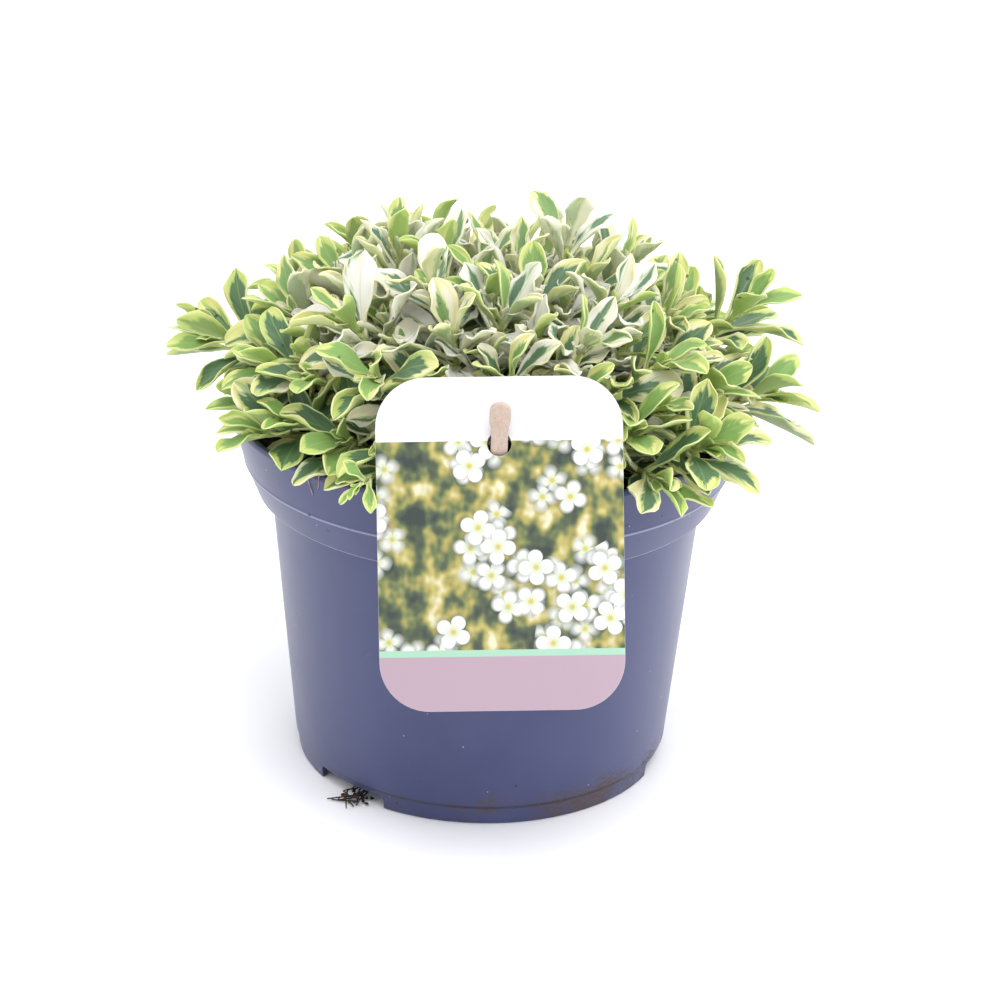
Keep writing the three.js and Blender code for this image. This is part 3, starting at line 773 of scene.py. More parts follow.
def leaf_of(shoot, slot, attempt):
    """One way to set a leaf in its place on a shoot, by the same rule as in the solids."""
    i = shoot.index
    rank = slot / (shoot.leaves - 1)
    size = shoot.size * mix(1, LEAF.top_size, rank**2) * (1 + LEAF_STRAY.size * spread(i, slot, 0, 6))
    wide = size * (1 + LEAF_STRAY.width * spread(i, slot, 0, 13))
    roam = min(attempt / TRIES.free, 1)
    turn = slot * GOLDEN + 360 * draw(i, 0, 0, 7) + LEAF_TURN * roam * spread(i, slot, attempt, 8)
    open_angle = mix(PITCH.low, PITCH.top, rank) + PITCH.stray * spread(i, slot, 0, 9)
    pitch = max(open_angle + PITCH.roam * roam * spread(i, slot, attempt, 14), PITCH.least)
    bend = mix(BEND.low, BEND.top, rank) + BEND.stray * spread(i, slot, attempt, 10)
    ahead, across = leaf_directions(shoot.axis, math.radians(turn), math.radians(pitch))
    return SimpleNamespace(
        base=shoot.crown - shoot.axis * (ROOTED + LEAFY * shoot.size * (1 - rank)),
        ahead=ahead,
        across=across,
        bend=math.radians(bend),
        twist=math.radians(LEAF_TWIST * spread(i, slot, attempt, 11)),
        fold=math.radians(mix(FOLD.least, FOLD.most, draw(i, slot, 0, 12) ** 2)),
        wave=math.radians(LEAF_WAVE * draw(i, slot, 0, 15)),
        phase=draw(i, slot, 0, 16),
        length=LEAF.length * size * (1 - TRIES.shorter * attempt),
        width=LEAF.width * wide * (1 - TRIES.narrower * attempt),
        petiole=LEAF.petiole * mix(0.85, 1, size),
        young=rank > LEAF.young_rank,
        rank=rank,
        seed=draw(i, slot, 0, 21),
        **PLAIN_EDGE,
    )


def spine_points(leaf):
    """Points along the middle of a leaf, from its root to its tip."""
    upper = np.cross(leaf.ahead, leaf.across)
    angles = leaf.bend * ((np.arange(SPINE_STEPS) + 0.5) / SPINE_STEPS) ** 2
    steps = np.outer(np.cos(angles), leaf.ahead) - np.outer(np.sin(angles), upper)
    return leaf.base + np.vstack([np.zeros(3), np.cumsum(steps, axis=0)]) * leaf.length / SPINE_STEPS


def solid_leaves(shoot):
    """The leaves that the solid of a shoot has: of each slot's tries, the one whose tip is a vertex of it."""
    places = points_of(frame["nodes"][shoot.name].data) / MM
    leaves = []
    for slot in range(shoot.leaves):
        for attempt in range(TRIES.most):
            leaf = leaf_of(shoot, slot, attempt)
            tip = spine_points(leaf)[-1]
            if np.abs(places - tip).max(axis=1).min() < SAME_PLACE:
                leaves.append(leaf)
                break
    return leaves


def blade_master(name, along, across):
    """A flat blade, thick and closed, whose x runs 0 to 1 along it and whose y runs -1 to 1 across it."""
    cuts = dict(x_subdivisions=len(along) - 1, y_subdivisions=len(across) - 1)
    blade = added(bpy.ops.mesh.primitive_grid_add, size=2, **cuts)
    blade.name = name
    for vertex in blade.data.vertices:
        column = round((vertex.co.x + 1) / 2 * cuts["x_subdivisions"])
        row = round((vertex.co.y + 1) / 2 * cuts["y_subdivisions"])
        vertex.co = (along[column], across[row], 0)
    apply_modifier(blade, "SOLIDIFY", thickness=1, offset=0)
    layer = blade.data.uv_layers[0]
    for loop in blade.data.loops:
        place = blade.data.vertices[loop.vertex_index].co
        layer.data[loop.index].uv = (place.x, (place.y + 1) / 2)
    for face in blade.data.polygons:
        face.use_smooth = True
    return blade


def half_width(leaf, share):
    """Half the width of a blade: a narrow stalk, then spoon-shaped, with a blunt or a pointed tip."""
    power = 0.95 - 0.4 * share + leaf.point * np.clip((share - 0.6) / 0.4, 0, 1)
    blade = leaf.width / 2 * np.maximum(np.sin(np.pi * share**1.9), 0) ** power
    return np.maximum(np.maximum(blade, leaf.petiole / 2 * (1 - share)), TIP_HALF_WIDTH)


def laid_blade(leaf, flat, thickness, bead, tooth):
    """Where the points of the flat blade lie on a leaf, in mm: bent, twisted, channelled and waved."""
    u, v, w = flat.T
    hand = np.sign(v)
    t = np.abs(v)
    points = spine_points(leaf)
    shares = np.linspace(0, 1, SPINE_STEPS + 1)
    middle = between(u, shares, points)
    angle = leaf.bend * u**2
    upper = np.cross(leaf.ahead, leaf.across)
    tangent = np.outer(np.cos(angle), leaf.ahead) - np.outer(np.sin(angle), upper)
    turn = (leaf.twist * u)[:, None]
    side = leaf.across * np.cos(turn) + np.cross(tangent, leaf.across) * np.sin(turn)
    face = np.cross(tangent, side)
    half = half_width(leaf, u)
    # A few leaf edges carry one small tooth, which is one cut of the blade drawn out
    for sign, cut in zip((1, -1), leaf.teeth):
        half = half + (hand == sign) * (np.abs(u - cut) < 0.01) * (t > 0.85) * tooth
    lift = leaf.fold + leaf.wave * np.sin(2 * np.pi * (1.6 * u + leaf.phase) + np.where(hand > 0, 0, 2.2))
    lift = lift + leaf.crimp * np.sin(2 * np.pi * (2.7 * u + 3 * leaf.phase) + 1.7 * hand) * u
    curl = 2 * lift * t
    safe = np.where(np.abs(curl) < 1e-4, 1e-4, curl)
    out = half * t * np.sin(safe) / safe
    rise = half * t * (1 - np.cos(safe)) / safe
    normal = face * np.cos(curl)[:, None] - side * (hand * np.sin(curl))[:, None]
    thick = thickness + np.interp(t, (0, 0.3, 0.64, 0.9, 1), (0.5, 0, 0, 1, 0.1)) * bead
    thick = thick * np.interp(t, (0.9, 1), (1, 0.5)) * np.interp(u, (0, 0.3, 0.9, 1), (2.4, 1.1, 1, 0.5))
    thick = thick * min(1, leaf.length / 14)
    return middle + side * (hand * out)[:, None] + face * rise[:, None] + normal * (w * thick)[:, None]


def coarse_tree(leaves):
    """The blades of some leaves as a coarse surface, to test other leaves against."""
    along, across = len(PROBE_ALONG), len(PROBE_ACROSS)
    flat = np.array([(u, v, 0) for u in PROBE_ALONG for v in PROBE_ACROSS])
    places, faces = [], []
    for leaf in leaves:
        start = len(places)
        places += [tuple(place) for place in laid_blade(leaf, flat, 0, 0, 0)]
        for i in range(along - 1):
            for j in range(across - 1):
                k = start + i * across + j
                faces.append((k, k + 1, k + across + 1, k + across))
    return BVHTree.FromPolygons(places, faces)


def node_tree(name):
    """The faces of a CAD node, in mm, to keep leaves clear of it."""
    mesh = frame["nodes"][name].data
    places = [tuple(vertex.co / MM) for vertex in mesh.vertices]
    return BVHTree.FromPolygons(places, [tuple(face.vertices) for face in mesh.polygons])


def first_clear(ways, blockers):
    """The first of some ways to set a leaf that crosses nothing near it, as a list of one or of none."""
    for leaf in ways:
        tree = coarse_tree([leaf])
        near = [
            other for place, other in blockers
            if place is None or np.linalg.norm(place - leaf.base) < LEAF_REACH
        ]
        if not any(tree.overlap(other) for other in near):
            return [leaf]
    return []


def side_shoots(shoots, rng):
    """Lesser shoots that fill gaps: each takes, of many draws on the dome, the one furthest from others."""
    crowns = [shoot.crown for shoot in shoots]
    found = []
    for k in range(SIDE.most):
        draws = []
        for _ in range(SIDE.draws):
            share = math.sqrt(rng.uniform(0, SIDE.out))
            angle = rng.uniform(0, 2 * math.pi)
            draws.append((dome_point(share, angle, -rng.uniform(*SIDE.drop)), share, angle))
        distances = [min(np.linalg.norm(place - crown) for crown in crowns) for place, _, _ in draws]
        best = int(np.argmax(distances))
        if distances[best] < SIDE.gap:
            break
        crown, share, angle = draws[best]
        crowns.append(crown)
        side = angle + math.radians(rng.uniform(-SIDE.turn, SIDE.turn))
        found.append(SimpleNamespace(
            index=SIDE.first_index + k,
            crown=crown,
            side=side,
            size=rng.uniform(*SIDE.size),
            leaves=SIDE.leaves,
            axis=direction(math.radians(dome_lean(share)), side),
            parent=min(shoots, key=lambda shoot: np.linalg.norm(shoot.crown - crown)),
        ))
    return found


def small_leaf(base, axis, azimuth, pitch, length, width, rng):
    """A leaf outside the rule of the solids, on a stem's lower stretch or in a crown."""
    ahead, across = leaf_directions(axis, azimuth, pitch)
    return SimpleNamespace(
        base=base, ahead=ahead, across=across, bend=math.radians(rng.uniform(*SMALL_LEAF.bend)),
        twist=math.radians(rng.uniform(*SMALL_LEAF.twist)), fold=math.radians(rng.uniform(*SMALL_LEAF.fold)),
        wave=math.radians(rng.uniform(*SMALL_LEAF.wave)), phase=rng.random(), length=length, width=width,
        petiole=SMALL_LEAF.petiole, young=False, rank=0, seed=rng.random(), **PLAIN_EDGE,
    )


def stem_path(shoot):
    """A stem's path in mm: upright in its hole, bowed above the peat, straight through its leafy stretch."""
    neck = shoot.crown - shoot.axis * (LEAFY * shoot.size + 2 * ROOTED)
    if hasattr(shoot, "parent"):
        # A side shoot branches off half way up the bow of its parent's stem
        foot, above = stem_path(shoot.parent)[4:6]
    else:
        foot = np.array([*shoot.root, SOIL_TOP - HOLE_DEPTH + 1])
        above = np.array([*shoot.root, SOIL_TOP + STEM.clear])
    before = neck - shoot.axis * STEM.bow * np.linalg.norm(neck - above)
    bow = [(1 - s) ** 2 * above + 2 * s * (1 - s) * before + s * s * neck for s in np.linspace(0, 1, 9)]
    return np.array([foot, *bow, mix(neck, shoot.crown, 0.5), shoot.crown])


def stem_master():
    """A closed tube of radius 1 from z 0 to 1, with cuts along it."""
    tube = pin(8, 1, 1, (0, 0, 0.5))
    bpy.ops.object.mode_set(mode="EDIT")
    for cut in range(1, STEM_CUTS):
        bpy.ops.mesh.select_all(action="SELECT")
        bpy.ops.mesh.bisect(plane_co=(0, 0, cut / STEM_CUTS), plane_no=(0, 0, 1))
    bpy.ops.object.mode_set(mode="OBJECT")
    for face in tube.data.polygons:
        face.use_smooth = True
    return tube


def tube_along(master, path, radii, helper):
    """A copy of the tube as a mesh, laid along a path in mm, from the first of two radii to the second."""
    gone = lengths_along(path)
    gone /= gone[-1]
    mesh = master.data.copy()
    x, y, share = points_of(mesh).T

    tangent = between(share + 0.02, gone, path) - between(share - 0.02, gone, path)
    tangent /= np.linalg.norm(tangent, axis=1)[:, None]
    first = np.cross(tangent, helper)
    first /= np.linalg.norm(first, axis=1)[:, None]
    second = np.cross(tangent, first)
    radius = np.interp(share, (0, 1), radii)
    place = between(share, gone, path) + first * (x * radius)[:, None] + second * (y * radius)[:, None]
    mesh.vertices.foreach_set("co", (place * MM).ravel())
    return mesh


def add_stem(master, shoot):
    """The stem of a shoot, slimmer towards its crown."""
    radius = STEM.radius * shoot.size
    helper = np.array([-math.sin(shoot.side), math.cos(shoot.side), 0])
    mesh = tube_along(master, stem_path(shoot), (radius, STEM_TAPER * radius), helper)
    return with_facts(mesh, (0, STEM_SEED, 0))


def wandering(start, end, stray, steps, rng):
    """A path in mm from one point to another that strays as a thin root does."""
    shares = np.linspace(0, 1, steps)
    path = np.outer(1 - shares, start) + np.outer(shares, end)
    bends = rng.uniform(-stray, stray, (4, 3))
    bends[[0, -1]] = 0
    path += between(shares, np.linspace(0, 1, 4), bends)
    path[1:-1] = (path[:-2] + 2 * path[1:-1] + path[2:]) / 4
    return path


def fibre_bunch(name, routes, radii, rng):
    """Thin roots along (start, end, stray) routes in mm, joined, and never under the floor."""
    tube = stem_master()
    roots = []
    for start, end, stray in routes:
        path = wandering(np.array(start, float), np.array(end, float), stray, 11, rng)
        path[:, 2] = np.maximum(path[:, 2], radii[0] + 0.05)
        roots.append(link_mesh(name, tube_along(tube, path, radii, np.array([0.31, 0.27, 0.91]))))
    bpy.data.objects.remove(tube)
    return joined(*roots)


def with_facts(mesh, facts, below=0):
    """Adds a mesh to the scene, each point with its tone, seed, youth and whether it is on the underside."""
    layer = mesh.attributes.new("leaf", "FLOAT_COLOR", "POINT")
    values = np.empty((len(mesh.vertices), 4), np.float32)
    values[:, :3] = facts
    values[:, 3] = below
    layer.data.foreach_set("color", values.ravel())
    return link_mesh("leaf", mesh)


def add_leaf(master, leaf, tone, settings, walls, rng):
    """One leaf: a copy of the blade laid along it, with its own tip, teeth and crimp, as a list of one piece.

    A leaf that crosses a wall is laid with its plain tip, crimp and fold, and left out if it still does.
    """
    plain = dict(point=leaf.point, crimp=leaf.crimp, fold=leaf.fold)
    leaf.point = rng.uniform(*LEAF_EDGE.point)
    leaf.teeth = [rng.choice(BLADE_ALONG[5:10]) if rng.random() < LEAF_EDGE.toothed else -1 for _ in range(2)]
    leaf.crimp = math.radians(rng.uniform(*LEAF_EDGE.crimp) + LEAF_EDGE.creamy_crimp * tone)
    leaf.fold += math.radians(LEAF_EDGE.creamy_fold * tone * rng.random())
    faces = [tuple(face.vertices) for face in master.data.polygons]
    flat = points_of(master.data)
    for _ in range(2):
        place = laid_blade(leaf, flat, settings.thickness / MM, settings.bead / MM, settings.tooth / MM)
        tree = BVHTree.FromPolygons(place.tolist(), faces)
        if not any(tree.overlap(wall) for wall in walls):
            mesh = master.data.copy()
            mesh.vertices.foreach_set("co", (place * MM).ravel())
            return [with_facts(mesh, (tone, leaf.seed, leaf.young), flat[:, 2] < 0)]
        vars(leaf).update(plain)
    return []


def tone_of(leaf, share, rng):
    """How creamy a leaf is, from 0, green with a lime margin, to 1, nearly white with a few green streaks."""
    tone = mix(TONE.middle, TONE.edge, np.clip((share - TONE.start) / (TONE.end - TONE.start), 0, 1))
    tone += TONE_OF.rank * (TONE_OF.middle_rank - leaf.rank) + rng.uniform(-TONE.stray, TONE.stray)
    tone -= TONE_OF.young * leaf.young
    if rng.random() < TONE.greener:
        tone -= TONE_OF.greener * (share < TONE_OF.inner)
    return float(np.clip(tone, 0, 1))


def low_leaves(shoot, blockers, rng):
    """Smaller leaves on the stretch of a stem below its leaves, which close the view into the plant."""
    path = stem_path(shoot)
    gone = lengths_along(path)
    found = []
    start = rng.uniform(0, 360)
    for k in range(FILLERS.each):
        along = mix(FILLERS.low, gone[-1] - FILLERS.below_crown, (k + rng.random()) / FILLERS.each)
        base = between(along, gone, path)
        ahead = between(along + 1, gone, path) - base
        axis = ahead / max(np.linalg.norm(ahead), 1e-6)
        ways = [
            small_leaf(
                base, axis, math.radians(start + k * GOLDEN + rng.uniform(-FILLERS.turn, FILLERS.turn)),
                math.radians(rng.uniform(*FILLERS.pitch)), rng.uniform(*FILLERS.length),
                rng.uniform(*FILLERS.width), rng,
            )
            for _ in range(FILLERS.tries)
        ]
        found += first_clear(ways, blockers)
    if found:
        blockers.append((found[0].base, coarse_tree(found)))
    return found


def crown_leaves(shoot, rng):
    """The tiny leaves that still stand close together at a shoot's tip."""
    leaves = []
    for k in range(TINY.each):
        share = k / (TINY.each - 1)
        leaf = small_leaf(
            shoot.crown - shoot.axis * mix(*TINY.down, share), shoot.axis,
            math.radians(k * GOLDEN + TINY.turn * rng.random()), math.radians(mix(*TINY.pitch, share)),
            shoot.size * mix(*TINY.length, share), shoot.size * mix(*TINY.width, share), rng,
        )
        leaf.young = True
        leaves.append(leaf)
    return leaves


def leaf_material(settings):
    """Living leaf: waxy skin over soft flesh, an irregular green splash, a pale margin and a paler rim."""
    look = Finish("variegated_leaf")
    along, sideways, _ = look.split(look.add("UVMap", {}, uv_map="UVMap"))
    facts = look.add("Attribute", {}, attribute_name="leaf")
    tone, seed, youth = look.add("SeparateColor", {0: facts.outputs["Color"]}).outputs[:3]
    signed = look.scaled(sideways, 2, -1)
    across = look.math("ABSOLUTE", signed)
    start = look.times(seed, 97)
    second = look.math("FRACT", look.times(seed, 7.31))

    # Side veins run outwards and towards the tip, so the edge of the splash is feathered along them
    vein = look.scaled(across, -0.42, along)
    feather_place = look.add("CombineXYZ", {0: vein, 1: look.math("SIGN", signed), 2: start})
    feather = look.noise(feather_place, 10, 2, 0.6)
    broad = look.noise(look.add("CombineXYZ", {0: along, 1: signed, 2: start}), 1.9, 1, 0.4)

    # The splash ends before the tip, lies to one side, and is a narrow streak on most cream leaves
    wide = look.scaled(second, 0.42, look.span(tone, 0, 1, 0.66, 0.02))
    wide = look.scaled(youth, -0.12, wide)
    width = look.times(wide, look.smooth(along, 0.62, 0.98, 1, 0.05))
    patch_place = look.add("CombineXYZ", {0: along, 2: look.math("ADD", start, 9)})
    patch = look.math("SUBTRACT", look.noise(patch_place, 3.2, 1), 0.5)
    width = look.times(width, look.scaled(patch, look.scaled(tone, 4, 0.5), 1))
    aside = look.times(look.math("SUBTRACT", second, 0.5), look.scaled(tone, 1.1, 0.4))
    field = look.math("SUBTRACT", look.math("ABSOLUTE", look.math("ADD", signed, aside)), width)
    field = look.scaled(broad, 1.3, look.scaled(feather, 0.75, field))
    field = look.math("SUBTRACT", field, 1)
    inner = look.smooth(field, -0.05, 0.03, 1, 0)
    outer = look.smooth(field, 0.03, 0.22, 0.8, 0)

    # The margin goes from lime on the outer leaves to cream and nearly white on the inner ones
    creamy = look.math("ADD", tone, look.scaled(broad, 1.5, -0.7))
    margins = (settings.lime, settings.yellow, settings.cream, settings.white)
    margin = look.ramp(creamy, list(zip((0.05, 0.35, 0.62, 0.88), margins)))
    middle = look.mix(youth, settings.centre, settings.young)
    middle = look.mix(look.span(feather, 0.35, 0.7, 0, 0.5), middle, "#6F8D5E")
    middle = look.mix(look.times(tone, 0.7), middle, "#66836F")
    colour = look.mix(outer, margin, look.mix(tone, "#89A55C", "#A3B491"))
    colour = look.mix(inner, colour, middle)

    # The stalk, the lower midrib, the raised rim and the underside are pale
    colour = look.mix(look.smooth(along, 0.06, 0.3, 0.7, 0), colour, "#D3DB9C")
    colour = look.mix(look.smooth(across, 0.02, 0.08, 0.3, 0), colour, "#9DBB66")
    colour = look.mix(look.smooth(across, 0.94, 0.98, 0, 0.7), colour, settings.rim)
    under = look.times(facts.outputs["Alpha"], 0.5)
    colour = look.mix(under, colour, look.mix(tone, "#B1C571", "#E0DEC6"))

    # Crumbs of peat that lie on the leaves: 0.5 mm specks, a few to the square centimetre
    spot = look.spot()
    colour = look.dotted(colour, spot, 240, 0, 0.82, (0.1, 0.16), 0.85, "#3F3022")

    # Stems are marked by a seed under 0: pale green, and brown towards the peat
    height = look.split(spot)[2]
    brown = look.times(look.noise(spot, 420, 3), look.span(height, 95 * MM, 118 * MM, 1.3, 0))
    bark = look.mix(brown, settings.stem, "#5A4530")
    colour = look.mix(look.math("LESS_THAN", seed, 0), colour, bark)

    # Waxy skin: a soft gloss that the fine cells break up
    cells = look.noise(spot, 1800, 2)
    gloss = look.span(cells, 0.3, 0.7, 0.44, 0.58)
    flesh = {
        "IOR": 1.42, "Subsurface Weight": 0.3, "Subsurface Radius": (0.8, 1.0, 0.3),
        "Subsurface Scale": 1.2 * MM,
    }
    return look.done(colour, gloss, look.scaled(feather, 0.5, cells), 0.28, 0.12, flesh)


def pot_material(settings):
    """Injection-moulded polypropylene: satin, pale flecks, dry peat, and painted highlights on the collar."""
    look = Finish("moulded_polypropylene_slate")
    spot = look.spot()
    height = look.split(spot)[2]

    def away_from(line):
        return look.math("ABSOLUTE", look.math("SUBTRACT", height, line * MM))

    # Faint clouds of handling, 25 mm wide
    clouds = look.noise(spot, 38, 3)
    colour = look.mix(look.span(clouds, 0.35, 0.65, 0, 0.14), settings.plastic, "#5A5F88")

    # Pale flecks of lime from the watering, 0.4 mm across
    colour = look.dotted(colour, spot, 300, 0, 0.7, (0.03, 0.075), 0.7, "#C4C6D8")

    # Painted highlight: the raised line of the collar and the edge of its foot are painted pale where light
    # catches them
    for line in (COLLAR_LINE.z, COLLAR_FOOT.z + 0.3):
        painted_highlight = look.span(away_from(line), 0.15 * MM, 0.45 * MM, 0.5, 0)
        colour = look.mix(painted_highlight, colour, settings.line)

    # Dried peat clings along the foot line, thins out upwards, and is smeared over the right front
    patches = look.noise(spot, 60, 3)
    grains = look.noise(look.vector("MULTIPLY", spot, (1, 1, 3)), 450, 5, 0.75)
    over = look.span(height, 5 * MM, 14 * MM, 0.16, -0.16)
    away = look.vector("DISTANCE", spot, SMEAR_AT * MM).outputs["Value"]
    total = look.math("ADD", look.math("ADD", patches, over), look.span(away, 4 * MM, 20 * MM, 0.2, 0))
    dirt = look.span(look.scaled(grains, 1.2, total), 1.27, 1.55, 0, 0.8)
    colour = look.mix(dirt, colour, settings.dust)
    seam = look.span(away_from(FOOT_LINE.z), 0.15 * MM, 0.75 * MM, 1, 0)
    seam = look.times(seam, look.span(patches, 0.3, 0.55, 0.35, 0.95))
    colour = look.mix(seam, colour, "#1F1A19")

    # Specks of wet peat, 0.6 mm across, stick to the collar under the leaves
    least = look.span(height, 70 * MM, 101 * MM, 0.985, 0.7)
    colour = look.dotted(colour, spot, 330, 2, least, (0.14, 0.2), 0.9, "#2A211D")

    rough = look.scaled(dirt, 0.4, look.span(clouds, 0.3, 0.7, 0.3, 0.38))
    relief = look.scaled(dirt, 0.3, look.noise(spot, 2200, 1))
    return look.done(colour, rough, relief, 0.3, 0.04, {"IOR": 1.49, "Sheen Weight": 0.04})


def peat_material(settings, name):
    """Milled peat: nearly black when wet, with brown dry crumbs and a rough broken surface."""
    look = Finish(name)
    spot = look.spot()
    lumps = look.noise(spot, 260, 5, 0.65)
    colour = look.mix(look.span(lumps, 0.5, 0.68, 0, 0.8), settings.dark, settings.light)
    fibres = look.span(look.noise(spot, 1100, 3), 0.68, 0.74, 0, 0.5)
    return look.done(look.mix(fibres, colour, "#8A6D50"), 0.92, lumps, 0.9, 0.6)


def fibre_material():
    """Dry roots: thin, matt and brown, paler in places."""
    look = Finish("dry_root_fibre")
    tint = look.noise(look.spot(), 600, 2)
    return look.done(look.ramp(tint, ((0.35, "#8C7263"), (0.65, "#C4AE9F"))), 0.8)


def blossoms(look, place, scale, petal, angle):
    """Four-petalled blossoms, one to a cell of a turned grid.

    Gives how far points are past a petal's edge and from a middle, and a chance that comes in clusters.
    """
    moved = look.turned(place, angle)
    inputs = {"Vector": moved, "Scale": scale, "Randomness": 0.45}
    cells = look.add("TexVoronoi", inputs, voronoi_dimensions="2D")
    away = look.vector("SUBTRACT", moved, cells.outputs["Position"])
    x, y, _ = look.split(away)
    red, green, _ = look.add("SeparateColor", {0: cells.outputs["Color"]}).outputs[:3]
    turn = look.scaled(red, 6.28, look.math("ARCTAN2", y, x))
    lobes = look.math("ABSOLUTE", look.math("COSINE", look.times(turn, 2)))
    reach = look.scaled(look.math("POWER", lobes, 0.55), 0.62 * petal, 0.38 * petal)
    length = look.vector("LENGTH", away).outputs["Value"]
    crowd = look.noise(look.turned(cells.outputs["Position"], -angle), 0.05, 0, dimensions="2D")
    return look.math("SUBTRACT", length, reach), length, look.scaled(green, 0.25, crowd)


def card_material(settings):
    """Coated card: white, with a four-colour print of blossoms over leaves, a stripe and a band."""
    look = Finish("coated_card_printed")
    uv = look.add("UVMap", {}, uv_map="UVMap")
    u, v, _ = look.split(uv)
    place = look.vector("MULTIPLY", uv, (CARD.width, CARD.height, 1))

    # A ground of leaves out of focus: olive, mustard, dark green and cream in patches of 4 to 12 mm
    ground = look.noise(look.vector("MULTIPLY", place, (1, 0.8, 1)), 0.17, 2, dimensions="2D")
    picture = look.ramp(ground, PRINT_GROUND)

    # Blossoms out of focus behind, and sharp ones in front
    for scale, petal, angle, soft, least in PRINT_BLOSSOMS:
        gap, middle, chance = blossoms(look, place, scale, petal, angle)
        shown = look.math("GREATER_THAN", chance, least)
        shadow = look.times(look.span(gap, 0, 1.6, 0.45, 0), shown)
        picture = look.mix(shadow, picture, "#333D2C")
        petals = look.mix(look.span(middle, 0.6, 3.2, 0, 1), "#BDC4A6", "#DDDEDF")
        petals = look.mix(look.span(gap, -1.1, -0.1, 0, 0.5), petals, "#BFC3BD")
        petals = look.mix(look.span(middle, 0.4, 0.8, 1, 0), petals, "#BDB04A")
        inside = look.times(look.span(gap, -soft, soft, 1, 0), shown)
        picture = look.mix(inside, picture, petals)

    # Bare header over the picture, and a stripe and a band under it, each up to its share of the height
    colour = settings.card
    front = look.math("GREATER_THAN", u, -0.5)
    for top, fill in ((0.81, picture), (0.185, settings.stripe), (0.165, settings.band)):
        under = look.times(look.math("LESS_THAN", v, top), front)
        colour = look.mix(under, colour, fill)
    fibre = look.noise(place, 3.5, 3, dimensions="2D")
    colour = look.mix(look.span(fibre, 0.4, 0.7, 0, 0.06), colour, "#8C8578")
    return look.done(colour, look.span(fibre, 0.3, 0.7, 0.32, 0.44), fibre, 0.12, 0.05)


def wood_material(settings):
    """Sliced birch: pale, dry and matt, with fine grain along the stick and a few darker pores."""
    look = Finish("sliced_birch")
    spot = look.spot()
    long = look.vector("MULTIPLY", spot, (1, 1, 0.08))
    grain = look.noise(long, 1900, 3, 0.6)
    colour = look.mix(look.span(grain, 0.35, 0.7, 0, 0.55), settings.wood, "#A88C74")
    colour = look.mix(look.span(look.noise(long, 5200, 1), 0.66, 0.72, 0, 0.5), colour, "#7A5B3E")

    # Damp and dark where it stands in the peat
    damp = look.span(look.split(spot)[2], 92 * MM, 103 * MM, 0.7, 0)
    return look.done(look.mix(damp, colour, "#4A3524"), 0.72, grain, 0.4, 0.1)


def aim_camera(settings):
    """The camera of the photograph: above the rim, aimed a little right and up, and rolled."""
    middle = Vector((0, 0, POT_HEIGHT / 2 * MM))
    e = settings.elevation
    spot = middle + settings.distance * Vector((0, -math.cos(e), math.sin(e)))
    ahead = (middle - spot).normalized()
    right = Vector((1, 0, 0))
    upwards = right.cross(ahead)
    aim = (ahead + settings.yaw * right + settings.pitch * upwards).normalized()
    level = aim.cross(Vector((0, 0, 1))).normalized()
    over = level.cross(aim)
    x = math.cos(settings.roll) * level + math.sin(settings.roll) * over
    y = -math.sin(settings.roll) * level + math.cos(settings.roll) * over
    turn = Matrix((x, y, -aim)).transposed().to_4x4()
    camera = added(bpy.ops.object.camera_add)
    camera.name = "photo_camera"
    camera.matrix_world = Matrix.Translation(spot) @ turn
    camera.data.sensor_width = 36
    camera.data.lens = settings.lens
    camera.data.clip_start = 0.01
    camera.data.clip_end = 20
    bpy.context.scene.camera = camera


def add_lamp(name, place, size, power, colour):
    """A large soft lamp aimed at the middle of the plant."""
    lamp = added(bpy.ops.object.light_add, type="AREA", location=place)
    lamp.name = name
    lamp.data.shape = "DISK"
    lamp.data.size = size
    lamp.data.energy = power
    lamp.data.color = rgb(colour)[:3]
    aim = LAMPS_AIM - Vector(place)
    lamp.rotation_euler = aim.to_track_quat("-Z", "Y").to_euler()


class CRESS_OT_stage(bpy.types.Operator):
    """Adds the camera, the pale floor and the soft light"""

    bl_idname = "cress.stage"
    bl_label = "Stage"

    def execute(self, context):
        settings = context.scene.cress_stage
        aim_camera(settings)
        circle = dict(vertices=96, radius=FLOOR_RADIUS, fill_type="NGON", location=(0, 0, -FLOOR_DROP))
        floor = added(bpy.ops.mesh.primitive_circle_add, **circle)
        floor.name = "floor"
        sweep = Finish("matt_white_sweep").done(settings.floor, 0.9, others={"Specular IOR Level": 0.1})
        floor.data.materials.append(sweep)
        for lamp in LAMPS:
            add_lamp(*lamp)
        world = bpy.data.worlds.new("white_studio")
        context.scene.world = world
        world.use_nodes = True
        back = world.node_tree.nodes["Background"]
        back.inputs["Color"].default_value = rgb(WORLD.colour)
        back.inputs["Strength"].default_value = WORLD.strength
        context.scene.view_settings.view_transform = "Standard"
        return {"FINISHED"}


class CRESS_OT_pot(bpy.types.Operator):
    """Replaces the pot by a moulded one with rounded edges, cut-outs and drain holes"""

    bl_idname = "cress.pot"
    bl_label = "Pot"

    def execute(self, context):
        settings = context.scene.cress_pot
        pot = spun("pot", pot_outline(settings.edge / MM), settings.sides)
        cut_with(pot, pot_cutters())
        smooth_by_angle(pot, SMOOTH.pot)
        finish_piece(pot, "moulded_pot", pot_material(settings), "pot_plastic", "pot")
        return {"FINISHED"}


